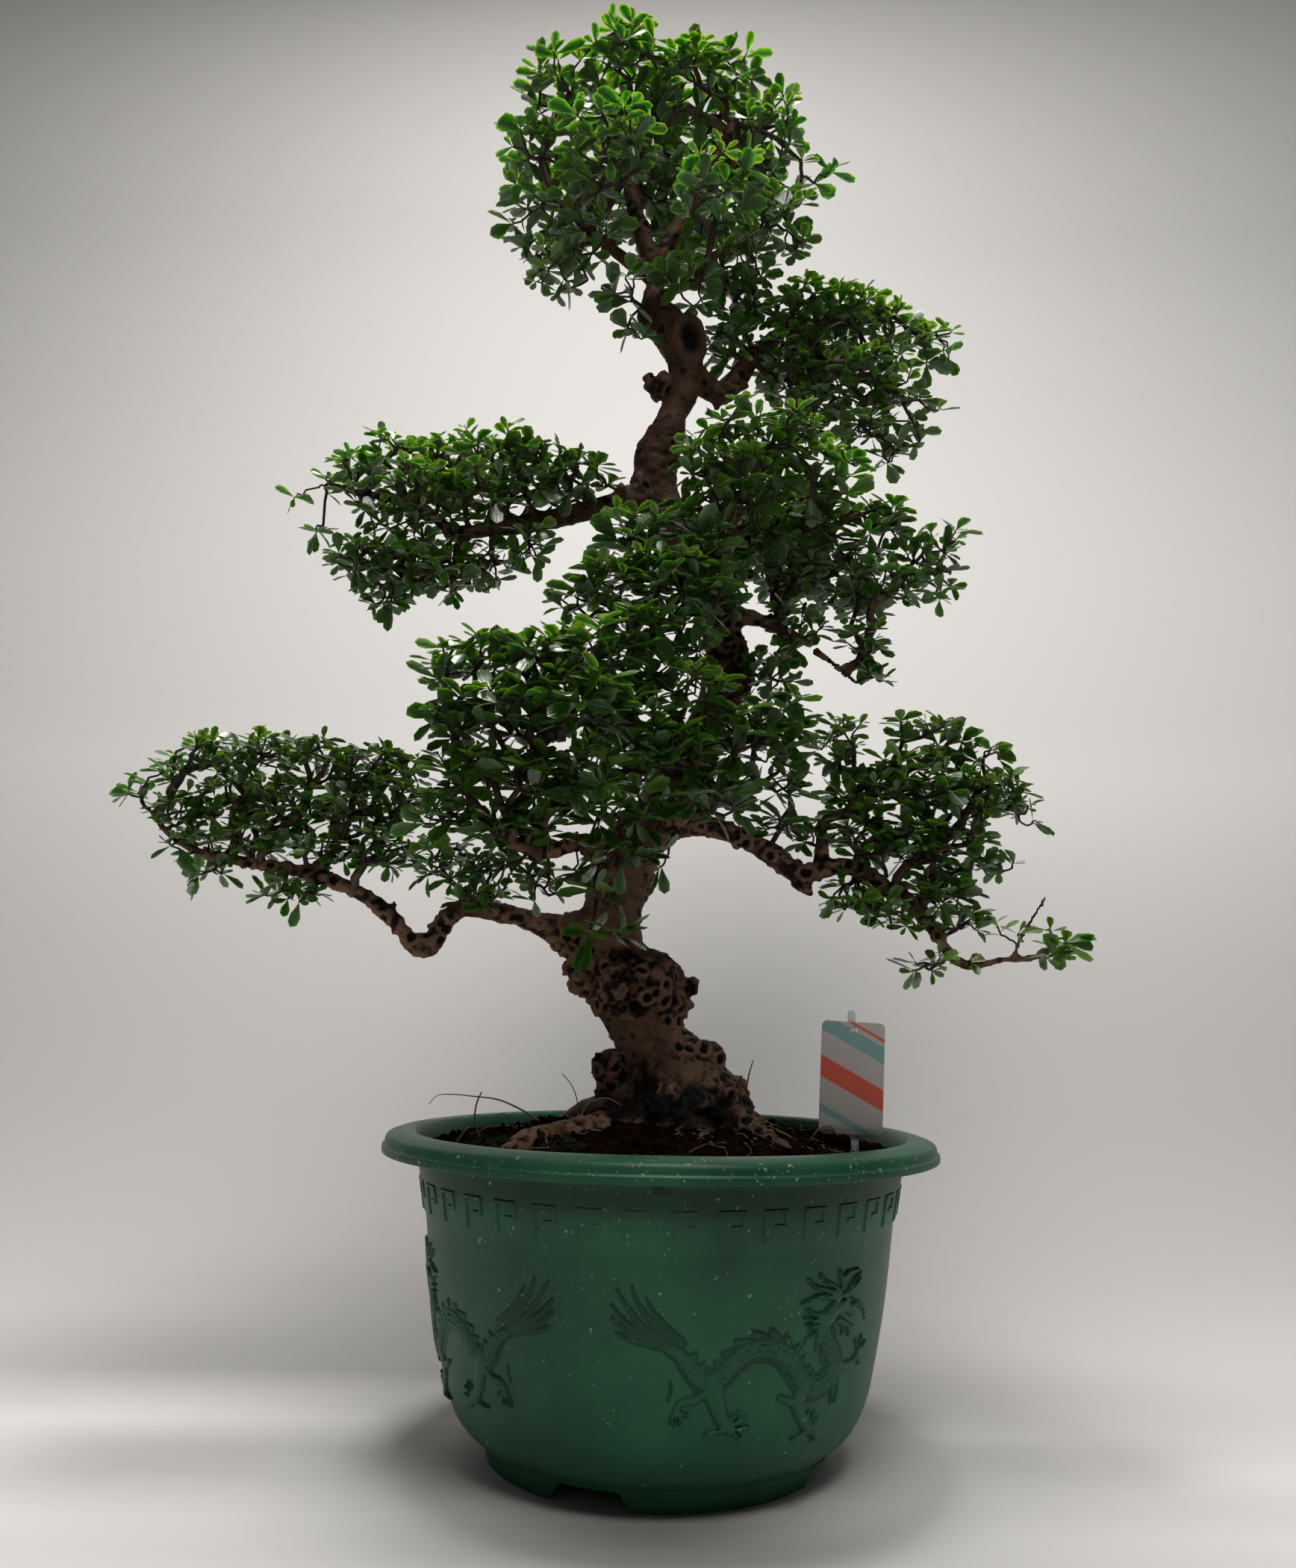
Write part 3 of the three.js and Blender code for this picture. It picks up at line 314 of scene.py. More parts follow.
# Wiry roots that stand clear of the soil, each [x, y, z, half width]
WILD_ROOTS = [
    [[-84, -62, 226, 0.9], [-98, -64, 234, 0.7], [-113, -66, 240, 0.6], [-130, -68, 242, 0.45],
     [-143, -68, 243, 0.4], [-154, -68, 242, 0.3], [-160, -68, 236, 0.25]],
    [[-100, -66, 220, 0.5], [-108, -70, 231, 0.4], [-117, -72, 228, 0.3], [-126, -74, 230, 0.25]],
    [[-124, -66, 214, 0.8], [-128, -67, 226, 0.7], [-127, -67, 238, 0.6], [-124, -67, 245, 0.5]],
    [[-58, -50, 226, 1.1], [-50, -52, 238, 1], [-38, -50, 241, 0.9], [-28, -46, 236, 0.8]],
    [[-58, -56, 228, 0.5], [-59, -57, 240, 0.4], [-63, -58, 250, 0.35], [-70, -58, 258, 0.3]],
    [[-142, -70, 206, 1.2], [-136, -72, 216, 1], [-131, -74, 222, 0.8]],
    [[62, -10, 246, 0.8], [64, -12, 258, 0.6], [67, -13, 268, 0.4]],
    [[104, -40, 212, 0.8], [110, -44, 222, 0.7], [118, -45, 225, 0.6], [124, -44, 217, 0.5]],
]

# Label
CARD_SIZE = (45, 78)
CARD_THICKNESS = 1
CARD_CORNER = 4
CARD_BOTTOM = 219
CARD_LEAN = 2.4  # degrees to the right
STAKE_LEAN = -0.8
CARD_HOLE = 2.5
CARD_HOLE_DROP = 6
LABEL_PLACE = (136, -42)
STAKE_WIDTH = 5.5
STAKE_THICKNESS = 1.6
STAKE_HEIGHTS = (160, 305)

# Glow of the backdrop's wall, in metres: its middle [across, up], its reach, and its strengths
GLOW = {"middle": (0.55, 1.2), "reach": (2.15, 1.15), "peak": 0.19}

# Backdrop: the radius of its bend, where its wall stands, and half its width
SWEEP_BEND = 900
SWEEP_WALL = 1500
SWEEP_HALF_WIDTH = 4200

# Painted light and shade on the backdrop: [way along its floor and up its wall, tone at its sides, how much
# darker its middle is with painted shadow, where that middle is]
PAPER_PAINTED_LIGHT = [
    [-300, 0.9, 0, 0], [-180, 0.88, 0, 0], [-100, 1.06, 0, 0], [-60, 1.08, -0.2, 0], [-20, 1.02, -0.42, 0],
    [25, 0.88, -0.38, 0], [75, 0.84, 0, -100], [175, 0.84, 0.5, -160], [350, 0.84, 0.6, -60],
    [550, 0.79, 0.56, -30], [825, 0.75, 0.5, 30], [1125, 0.72, 0.53, 70], [1300, 0.73, 0.5, 110],
    [1500, 0.77, 0.37, 180], [1700, 0.84, 0.25, 200], [1900, 0.93, 0, 0], [2350, 0.87, 0, 0],
    [2700, 0.77, 0, 0], [3100, 0.72, 0, 0], [3900, 1, 0, 0],
]
# Painted light and shade on the floor: its cap, its slope in front of the pot, the half width of its painted
# shadow, its tilt, and the painted shade in front of the foot
PAINTED_LIGHT_MOST = 1.36
PAINTED_LIGHT_SLOPE = (-0.16, 0.1)  # how much darker and lighter the floor in front gets to the right and left
PAINTED_SHADOW_REACH = 430  # half width of the darker part
FLOOR_PAINTED_TILT = 0.00045  # how much lighter the floor in front is for each millimetre to the left
CONTACT = {"middle": (0, -150), "reach": (100, 50), "depth": 0.56}  # shade right in front of the foot

# Lights: each one's place, what it looks at, and its side in metres
CEILING_LIGHT = ((-140, 60, 2700), (-20, 40, 0), 0.7)
FRONT_LIGHT = ((320, -1150, 2700), (40, -250, 200), 1.1)
LIGHT_TINT = (1, 0.985, 0.96)

# Camera, fitted to the pot's rim and foot
CAMERA_PLACE = (-14, -937, 298)
CAMERA_PITCH = 10.68
CAMERA_ROLL = 1.1
SENSOR = 36
CAMERA_LENS = SENSOR * 1650 / 2100


# Arithmetic

def metres(points):
    """Places in millimetres from the pot's axis, as places in metres in the frame."""
    return np.asarray(points, float) * MM + POT_AXIS


def length(vectors):
    return np.linalg.norm(vectors, axis=-1, keepdims=True)


def unit(vectors):
    return vectors / np.maximum(length(vectors), 1e-12)


def smoothstep(low, high, value):
    """0 below low, 1 above high, and 3t^2 - 2t^3 between them."""
    part = np.clip((value - low) / (high - low), 0, 1)
    return part * part * (3 - 2 * part)


def lattice_value(cells, seed):
    """A fixed number from 0 to 1 for each cell, from its three whole numbers with their bits mixed."""
    keys = cells.astype(np.int64)
    mixed = keys[..., 0] * 73856093 ^ keys[..., 1] * 19349663 ^ keys[..., 2] * 83492791 ^ seed * 40503
    mixed = (mixed ^ (mixed >> 13)) * 1274126177
    mixed = mixed ^ (mixed >> 16)
    return (mixed & 0xFFFFFF) / 0xFFFFFF


def smooth_noise(points, size, seed):
    """Value noise from -1 to 1: a number for each corner of a cubic lattice, blended by smoothstep."""
    place = points / size
    cell = np.floor(place)
    part = smoothstep(0, 1, place - cell)
    total = np.zeros(len(points))
    for corner in itertools.product((0, 1), repeat=3):
        weight = np.prod(np.where(corner, part, 1 - part), axis=-1)
        total += weight * lattice_value(cell + corner, seed)
    return 2 * total - 1


def layered_noise(points, size, seed, layers=3):
    """Value noise with finer and finer layers, each half as large and half as high as the one before."""
    return sum(smooth_noise(points, size / 2**k, seed + k) / 2**k for k in range(layers))


def cell_distance(points, size, seed):
    """How far each point is, in cells, from the nearest of one random place in each cell of a lattice."""
    place = points / size
    cell = np.floor(place)
    nearest = np.full(len(points), 9.0)
    for corner in itertools.product((-1, 0, 1), repeat=3):
        there = cell + corner
        middle = np.stack([lattice_value(there, seed + k) for k in range(3)], axis=-1) + there
        nearest = np.minimum(nearest, np.linalg.norm(middle - place, axis=-1))
    return nearest


def smooth_route(route, steps):
    """A centripetal Catmull-Rom curve through a route's points, with that many steps for each span."""
    given = np.asarray(route, float)
    places = np.vstack([2 * given[0] - given[1], given, 2 * given[-1] - given[-2]])
    gaps = np.sqrt(length(np.diff(places, axis=0)))
    rates = np.diff(places, axis=0) / gaps
    slopes = (rates[:-1] * gaps[1:] + rates[1:] * gaps[:-1]) / (gaps[:-1] + gaps[1:])
    t = (np.arange(steps) / steps)[None, :, None]
    start, end = given[:-1, None], given[1:, None]
    gap = gaps[1:-1, None]
    curve = (
        (2 * t**3 - 3 * t**2 + 1) * start
        + (t**3 - 2 * t**2 + t) * gap * slopes[:-1, None]
        + (3 * t**2 - 2 * t**3) * end
        + (t**3 - t**2) * gap * slopes[1:, None]
    )
    return np.vstack([curve.reshape(-1, given.shape[1]), given[-1]])


# Shapes: vertices in millimetres, blocks of faces, and named values for each vertex

def shape(points, faces, **values):
    blocks = [np.asarray(block) for block in faces]
    return {"points": np.asarray(points, float), "faces": blocks, "values": values}


def merged(shapes):
    """Several shapes as one, with their vertices in a row."""
    faces = []
    start = 0
    for one in shapes:
        faces += [block + start for block in one["faces"]]
        start += len(one["points"])
    values = {name: np.concatenate([one["values"][name] for one in shapes]) for name in shapes[0]["values"]}
    return shape(np.concatenate([one["points"] for one in shapes]), faces, **values)


def copied(faces, count, size):
    """Blocks of faces repeated for many copies of a shape with that many vertices."""
    starts = (np.arange(count) * size)[:, None, None]
    return [(block[None] + starts).reshape(-1, block.shape[1]) for block in faces]


def grid_faces(rows, columns, around=False):
    """Quads of a grid of points, row by row; around joins the last column to the first.
    Columns that run anticlockwise and rows that run up face outwards."""
    row = np.arange(rows - 1)[:, None] * columns
    column = np.arange(columns if around else columns - 1)[None, :]
    after = (column + 1) % columns
    corners = [row + column, row + after, row + columns + after, row + columns + column]
    return np.stack(corners, axis=-1).reshape(-1, 4)


def turned(profile, columns):
    """A surface of revolution: each [radius, height] of the profile is carried round the vertical axis."""
    angles = np.arange(columns) * 2 * math.pi / columns
    radius, height = np.asarray(profile, float).T[..., None]
    rings = np.broadcast_arrays(radius * np.cos(angles), radius * np.sin(angles), height)
    points = np.stack(rings, axis=-1)
    return shape(points.reshape(-1, 3), [grid_faces(len(profile), columns, around=True)])


def tubes(routes, radii, sides):
    """Closed round tubes with a circle at each station, square to the route, whose first direction is that
    of the station before, less its part along the route."""
    count, stations = radii.shape
    along = unit(np.gradient(routes, axis=1))
    guide = np.where(np.abs(along[:, 0, 2:]) < 0.8, [[0.0, 0, 1]], [[1.0, 0, 0]])
    across = np.empty_like(routes)
    for k in range(stations):
        guide = unit(guide - along[:, k] * np.sum(guide * along[:, k], axis=-1, keepdims=True))
        across[:, k] = guide
    other = np.cross(along, across)
    turn = (np.arange(sides) * 2 * math.pi / sides)[:, None]
    ring = across[:, :, None] * np.cos(turn) + other[:, :, None] * np.sin(turn)
    points = routes[:, :, None] + ring * radii[:, :, None, None]
    per_tube = stations * sides
    starts = (np.arange(count) * per_tube)[:, None, None]
    walls = (grid_faces(stations, sides, around=True)[None] + starts).reshape(-1, 4)
    first = np.arange(sides)[::-1][None] + starts[:, 0]
    last = np.arange(sides)[None] + (stations - 1) * sides + starts[:, 0]
    girth = np.repeat(radii.reshape(-1), sides)
    return shape(points.reshape(-1, 3), [walls, first, last], girth=girth)


def stem(route, steps, sides):
    """One tube along a smooth curve through a route of [x, y, z, half width]."""
    curve = smooth_route(route, steps)
    return tubes(curve[None, :, :3], curve[None, :, 3], sides)


def lump(middle, half_widths, rows=12, columns=18):
    """A ball with three half widths, as rows of points from pole to pole."""
    up = np.linspace(-math.pi / 2, math.pi / 2, rows + 1)[1:-1]
    profile = np.stack([np.cos(up), np.sin(up)], axis=-1)
    ball = turned(profile, columns)
    poles = np.array([[0, 0, -1.0], [0, 0, 1.0]])
    count = len(ball["points"])
    ring = np.arange(columns)
    after = (ring + 1) % columns
    south = np.column_stack([after, ring, 0 * ring + count])
    top = count - columns
    north = np.column_stack([ring + top, after + top, 0 * ring + count + 1])
    points = np.vstack([ball["points"], poles]) * half_widths + middle
    return shape(points, [ball["faces"][0], south, north])


def ring_sheet(middle, hole_radius, outline, rows):
    """A flat sheet between a round hole and an outline: the line from each outline point to the hole's
    middle, divided evenly as far as the hole's edge."""
    edge = middle + unit(outline - middle) * hole_radius
    t = np.linspace(0, 1, rows)[:, None, None]
    return (1 - t) * edge + t * outline


def filleted(corners, steps=4):
    """A profile with rounded corners: each is a quadratic curve between points a fillet away on its sides."""
    corners = np.asarray(corners, float)
    made = [corners[0, :2]]
    for before, corner, after in zip(corners[:-2], corners[1:-1], corners[2:]):
        middle = corner[:2]
        inwards = before[:2] - middle
        outwards = after[:2] - middle
        reach = min(corner[2], 0.49 * np.linalg.norm(inwards), 0.49 * np.linalg.norm(outwards))
        start = middle + unit(inwards) * reach
        end = middle + unit(outwards) * reach
        t = np.linspace(0, 1, steps)[:, None]
        made += list((1 - t) ** 2 * start + 2 * t * (1 - t) * middle + t**2 * end)
    made.append(corners[-1, :2])
    return np.array(made)


def divided(profile, longest):
    """A profile with no span longer than the longest allowed."""
    made = [profile[0]]
    for start, end in zip(profile[:-1], profile[1:]):
        parts = max(1, math.ceil(np.linalg.norm(end - start) / longest))
        made += [start + (end - start) * k / parts for k in range(1, parts + 1)]
    return np.array(made)


def slab(top, bottom, cells):
    """A closed plate from cells of a grid: its top, its bottom, and a wall round every open edge."""
    edges = np.concatenate([cells[:, [k, (k + 1) % 4]] for k in range(4)])
    count = len(top)
    keys = edges[:, 0] * count + edges[:, 1]
    open_edges = edges[~np.isin(keys, edges[:, 1] * count + edges[:, 0])]
    start, end = open_edges.T
    walls = np.stack([end, start, start + count, end + count], axis=-1)
    faces = np.concatenate([cells, cells[:, ::-1] + count, walls])
    used, renumbered = np.unique(faces, return_inverse=True)
    points = np.concatenate([top, bottom])[used]
    return shape(points, [renumbered.reshape(-1, 4)])


def add_piece(name, made, material, node=None, crease=None, weld=None):
    """Makes a shape a mesh object at the origin that rides on the part's body and takes a finish."""
    mesh = bpy.data.meshes.new(name)
    points = metres(made["points"]).astype(np.float32)
    blocks = made["faces"]
    corners = np.concatenate([block.reshape(-1) for block in blocks]).astype(np.int32)
    sizes = np.concatenate([np.full(len(block), block.shape[1]) for block in blocks])
    starts = np.concatenate([[0], np.cumsum(sizes)[:-1]]).astype(np.int32)
    mesh.vertices.add(len(points))
    mesh.vertices.foreach_set("co", points.reshape(-1))
    mesh.loops.add(len(corners))
    mesh.loops.foreach_set("vertex_index", corners)
    mesh.polygons.add(len(sizes))
    mesh.polygons.foreach_set("loop_start", starts)
    mesh.polygons.foreach_set("use_smooth", np.ones(len(sizes), bool))
    for value_name, value in made["values"].items():
        if value_name == "uv":
            layer = mesh.uv_layers.new(name="LeafUV")
            layer.data.foreach_set("uv", value[corners].astype(np.float32).reshape(-1))
        else:
            attribute = mesh.attributes.new(value_name, "FLOAT", "POINT")
            attribute.data.foreach_set("value", value.astype(np.float32))
    mesh.update(calc_edges=True)
    if weld:
        welded = bmesh.new()
        welded.from_mesh(mesh)
        bmesh.ops.remove_doubles(welded, verts=welded.verts, dist=weld)
        welded.to_mesh(mesh)
        welded.free()
    if crease:
        mesh.set_sharp_from_angle(angle=math.radians(crease))
    mesh.materials.append(material)
    piece = bpy.data.objects.new(name, mesh)
    bpy.context.collection.objects.link(piece)
    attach(piece, BODY)
    if node:
        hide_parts(node)
    return piece


# Materials

class Value:
    """One output of a shader node. Arithmetic with it adds Math nodes to the same tree."""

    def __init__(self, socket):
        self.socket = socket
        self.tree = socket.id_data

    def maths(self, operation, *others, clamp=False):
        return put(self.tree, "Math", dict(enumerate((self, *others))), operation=operation, use_clamp=clamp)

    def __add__(self, other):
        return self.maths("ADD", other)

    def __sub__(self, other):
        return self.maths("SUBTRACT", other)

    def __mul__(self, other):
        return self.maths("MULTIPLY", other)

    def most(self, other):
        return self.maths("MAXIMUM", other)

    def between(self, low, high, start=0, end=1):
        """The value carried smoothly from low..high to start..end."""
        inputs = {"Value": self, "From Min": low, "From Max": high, "To Min": start, "To Max": end}
        return put(self.tree, "MapRange", inputs, interpolation_type="SMOOTHSTEP")

    def output(self, name):
        """Another output of the same node."""
        return Value(self.socket.node.outputs[name])

    def axis(self, number):
        """One coordinate of a vector."""
        return put(self.tree, "SeparateXYZ", {0: self}, number)


def fill(node, inputs):
    """Fills a node's inputs with plain values or other nodes' outputs."""
    for name, value in inputs.items():
        if isinstance(value, Value):
            node.id_data.links.new(value.socket, node.inputs[name])
        else:
            node.inputs[name].default_value = value


def put(tree, kind, inputs=None, output=0, **settings):
    """Adds a node, sets its properties, fills its inputs, and gives one of its outputs."""
    node = tree.nodes.new("ShaderNode" + kind)
    for name, value in settings.items():
        setattr(node, name, value)
    fill(node, inputs or {})
    return Value(node.outputs[output])


def blended(amount, first, second, blend="MIX"):
    """Two colours mixed by an amount."""
    inputs = {0: amount, 6: first, 7: second}
    return put(amount.tree, "Mix", inputs, 2, data_type="RGBA", blend_type=blend)


def noise(place, scale, detail=3, roughness=0.55):
    inputs = {"Vector": place, "Scale": scale, "Detail": detail, "Roughness": roughness}
    return put(place.tree, "TexNoise", inputs)


def attribute(place, name):
    return put(place.tree, "Attribute", output="Fac", attribute_name=name)


def colour(rgb, factor=1, more=0):
    """A socket's colour: red, green and blue times a factor, plus a little more."""
    return (*(factor * part + more for part in rgb), 1)


def new_group(name, inputs, output):
    """An empty shader group of a vector and some floats: the group, its inputs and its output node."""
    group = bpy.data.node_groups.new(name, "ShaderNodeTree")
    group.interface.new_socket("Vector", in_out="INPUT", socket_type="NodeSocketVector")
    for socket_name, default in inputs.items():
        socket = group.interface.new_socket(socket_name, in_out="INPUT", socket_type="NodeSocketFloat")
        socket.default_value = default
    group.interface.new_socket(output, in_out="OUTPUT", socket_type="NodeSocketFloat")
    start = group.nodes.new("NodeGroupInput")
    given = [Value(socket) for socket in start.outputs if socket.name]
    return group, given, group.nodes.new("NodeGroupOutput")


def specks_group():
    """Round specks of many sizes: 1 inside the inner part of a random share of the cells."""
    if "Specks" in bpy.data.node_groups:
        return bpy.data.node_groups["Specks"]
    group, given, end = new_group("Specks", {"Scale": 100, "Size": 0.2, "Share": 0.3}, "Mask")
    vector, scale, size, share = given
    bent = put(group, "TexNoise", {"Vector": vector, "Scale": 260, "Detail": 2}, "Color")
    drift = put(group, "VectorMath", {0: bent, 1: (0.5, 0.5, 0.5)}, operation="SUBTRACT")
    small = put(group, "VectorMath", {0: drift, "Scale": 0.006}, operation="SCALE")
    place = put(group, "VectorMath", {0: vector, 1: small}, operation="ADD")
    cells = put(group, "TexVoronoi", {"Vector": place, "Scale": scale}, "Distance")
    number = put(group, "SeparateColor", {0: cells.output("Color")})
    inside = number.output(1) * size - cells
    mask = inside.maths("MULTIPLY", 12, clamp=True) * number.maths("LESS_THAN", share)
    fill(end, {"Mask": mask})
    return group


def grain_group():
    """A fine uneven height: a coarse and a fine noise added together."""
    if "Grain" in bpy.data.node_groups:
        return bpy.data.node_groups["Grain"]
    group, given, end = new_group("Grain", {"Scale": 100, "Fine": 0.4}, "Height")
    vector, scale, fine = given
    fill(end, {"Height": noise(vector, scale, 4, 0.6) + noise(vector, scale * 5, 2, 0.5) * fine})
    return group


def specks(place, scale, size, share):
    inputs = {"Vector": place, "Scale": scale, "Size": size, "Share": share}
    return put(place.tree, "Group", inputs, node_tree=specks_group())


def grain(place, scale, fine):
    inputs = {"Vector": place, "Scale": scale, "Fine": fine}
    return put(place.tree, "Group", inputs, node_tree=grain_group())


def bumped(height, strength, distance):
    return put(height.tree, "Bump", {"Height": height, "Strength": strength, "Distance": distance})


def new_material(name):
    """A material, its Principled shader and its object coordinates."""
    material = bpy.data.materials.new(name)
    material.use_nodes = True
    place = put(material.node_tree, "TexCoord", output="Object")
    return material, material.node_tree.nodes["Principled BSDF"], place


def pot_plastic(settings):
    """Clouded green plastic with mineral specks, soil stains, and painted shade under the lip, low on the
    wall and in the relief's grooves, with a little dirt on the relief.
    """
    material, shader, place = new_material("pot_plastic")
    base = settings.pot_colour
    cloud = noise(place, 9, 4)
    green = blended(cloud.between(0.3, 0.7), colour(base, 0.72), colour(base, 1.25, 0.004))
    stain = noise(place, 45, 5, 0.65).between(0.5, 0.62) * attribute(place, "stain")
    stained = blended(stain, green, colour((0.02, 0.022, 0.012)))
    # Painted shade: darker green under the lip, low on the wall and in the relief's grooves, with a little
    # dirt on the relief
    shaded_and_grimy = blended(attribute(place, "grime"), stained, colour(base, 0.16))
    splash = attribute(place, "splash")
    drops = specks(place, 150, 0.28, splash)
    for scale, size, share in ((60, 0.2, splash * 0.16), (420, 0.34, splash)):
        drops = drops.most(specks(place, scale, size, share))
    dust = noise(place, 90, 6, 0.7).between(0.58, 0.72, 0, 0.35) * splash
    pale = (drops * 0.75).most(dust)
    fill(shader, {
        "Base Color": blended(pale, shaded_and_grimy, colour((0.3, 0.34, 0.29))),
        "Roughness": cloud.between(0.2, 0.8, 0.36, 0.5) + pale * 0.3,
        "Normal": bumped(grain(place, 160, 0.6) + drops * 1.5, 0.35, 0.0004),
        "Specular IOR Level": 0.2,
    })
    return material


def bark(settings):
    """Smooth tan bark with dark pits: dark and knobbly on burls with painted light on raised rims, black with
    painted shade in hollows, pale on callus, painted shade high up under the crown, darker on the right root."""
    material, shader, place = new_material("bark")
    tan = settings.bark_colour
    dark = colour(settings.burl_colour)
    fleck = noise(place, 120, 4, 0.6)
    patch = noise(place, 28, 5, 0.6).between(0.38, 0.64)
    warm = colour([share * part for share, part in zip((0.5, 0.44, 0.4), tan)])
    marked = (specks(place, 105, 0.46, 0.5) * 0.85).most(fleck.between(0.56, 0.66) * 0.7)
    smooth = blended(marked, blended(patch, colour(tan, 1.25), warm), dark)
    rough = attribute(place, "rough")
    # Painted light and shade: raised knob rims lighter, their sunk middles darker, from the ridge value
    knob = fleck * 0.7 + attribute(place, "ridge") * 0.6
    knobbly = blended(knob.between(0.6, 0.84), dark, colour(tan, 1.7))
    mixed = blended(rough.between(0.05, 0.55), smooth, knobbly)
    ringed = blended(attribute(place, "callus") * 0.9, mixed, colour(tan, 1.2))
    # Painted shade: near black in the hollows and in the scar's sunk middle
    hollowed = blended(attribute(place, "hollow"), ringed, colour((0.003, 0.002, 0.0014)))
    # Painted shade high up on the trunk, under the crown; the right root is made darker too
    right = place.axis(0).between(0.03, 0.08) * place.axis(2).between(0.24, 0.28, 1, 0)
    shade_high_dark_root = place.axis(2).between(0.62, 0.76, 0, 0.8).most(right)
    fill(shader, {
        "Base Color": blended(shade_high_dark_root, hollowed, colour((0.56, 0.54, 0.52)), "MULTIPLY"),
        "Roughness": fleck.between(0.3, 0.7, 0.55, 0.8),
        "Normal": bumped((grain(place, 150, 0.5) - marked * 0.8) * (rough + 0.6), 0.85, 0.0013),
        "Specular IOR Level": 0.15,
    })
    return material


def twig_bark(settings):
    """Brown twigs, paler and greyer where they are thick."""
    material, shader, place = new_material("twig_bark")
    thick = attribute(place, "girth").between(1, 4)
    brown = blended(thick, colour(settings.twig_colour), colour(settings.bark_colour, 0.7))
    fleck = noise(place, 160, 4, 0.65).between(0.5, 0.66, 0, 0.85)
    fill(shader, {
        "Base Color": blended(fleck, brown, colour(settings.burl_colour, 0.5)),
        "Roughness": 0.62,
        "Normal": bumped(grain(place, 320, 0.4), 0.7, 0.0008),
    })
    return material


def leaf_blade(settings):
    """Glossy leaf: dark to bright green by age and by painted light high on the pads, a paler midrib and side
    veins, and a dull pale underside.
    """
    material, shader, place = new_material("leaf_blade")
    green = settings.leaf_colour
    aged = blended(attribute(place, "tone"), colour(green), colour(green, 1.9))
    # New leaves, and painted light on leaves high on the pads, take the new-leaf colour
    grown = blended(attribute(place, "young"), aged, colour(settings.young_colour))
    blade = put(place.tree, "UVMap", uv_map="LeafUV")
    side = (blade.axis(0) - 0.5).maths("ABSOLUTE")
    veins = (blade.axis(1) * 40 - side * 34).maths("SINE").between(0.75, 1)
    lines = side.between(0.015, 0.06, 1, 0).most(veins * 0.4)
    lined = blended(lines * 0.35, grown, colour(green, 3, 0.002))
    under = attribute(place, "under")
    mottle = noise(place, 220, 2)
    fill(shader, {
        "Base Color": blended(under * 0.6, lined, colour(green, 1.7, 0.002)),
        "Roughness": mottle.between(0.3, 0.7, 0.2, 0.32) + under * 0.3,
        "Normal": bumped(mottle * 0.4 - lines, 0.35, 0.0004),
        "Specular IOR Level": 0.85,
        "Subsurface Weight": 0.25,
        "Subsurface Radius": (0.35, 0.7, 0.08),
        "Subsurface Scale": 0.002,
    })
    return material


def soil_crumb(settings):
    """Dark moist potting soil with brown crumbs, pale grit and green moss where the moss grows."""
    material, shader, place = new_material("soil_crumb")
    crumb = noise(place, 110, 6, 0.7).between(0.42, 0.68)
    brown = blended(crumb, colour(settings.soil_colour), colour((0.02, 0.0095, 0.005)))
    gritty = blended(specks(place, 170, 0.3, 0.02), brown, colour((0.15, 0.13, 0.1)))
    moss = attribute(place, "moss") * noise(place, 70, 5, 0.7).between(0.4, 0.56)
    fill(shader, {
        "Base Color": blended(moss, gritty, colour((0.022, 0.032, 0.011))),
        "Roughness": 0.9,
        "Normal": bumped(grain(place, 190, 0.8), 1, 0.002),
        "Specular IOR Level": 0,
    })
    return material


def dry_root(settings):
    """Thin dry roots, pale brown."""
    material, shader, place = new_material("dry_root")
    brown = blended(noise(place, 180, 3), colour(settings.twig_colour), colour((0.3, 0.22, 0.15)))
    fill(shader, {"Base Color": brown, "Roughness": 0.7})
    return material


def band(value, low, high, edge=0.0004):
    """1 where a value lies between low and high, in metres, with soft printed edges."""
    return value.between(low - edge, low + edge) * value.between(high - edge, high + edge, 1, 0)


def printed_card(settings):
    """Warm grey plastic card printed with plain slanting bands in teal and coral."""
    material, shader, place = new_material("printed_card")
    middle = metres([*LABEL_PLACE, CARD_BOTTOM + CARD_SIZE[1] / 2])
    local = put(place.tree, "Mapping", {"Vector": place, "Location": tuple(-middle)})
    slant = local.axis(2) + local.axis(0) * 0.55
    teal = band(slant, 0.021, 0.033).most(band(slant, -0.036, -0.031))
    coral = band(slant, -0.012, 0.003).most(band(slant, 0.0365, 0.0385))
    card = blended(noise(place, 600, 2), colour(settings.card_colour), colour(settings.card_colour, 0.9))
    cool = blended(teal, card, colour(settings.card_teal))
    fill(shader, {
        "Base Color": blended(coral, cool, colour(settings.card_coral)),
        "Roughness": noise(place, 60, 4).between(0.3, 0.7, 0.3, 0.46),
        "Normal": bumped(grain(place, 40, 0.1), 0.15, 0.0004),
    })
    return material


def clear_plastic(settings):
    """Cloudy see-through plastic of the stake, with a little soil low down."""
    material, shader, place = new_material("clear_plastic")
    dirty = place.axis(2).between(0.207, 0.222, 0.7, 0) * noise(place, 300, 4).between(0.4, 0.6)
    plastic = blended(dirty, colour(settings.stake_colour), colour((0.05, 0.035, 0.024)))
    fill(shader, {"Base Color": plastic, "Roughness": 0.28, "Transmission Weight": 0.35, "IOR": 1.45})
    return material


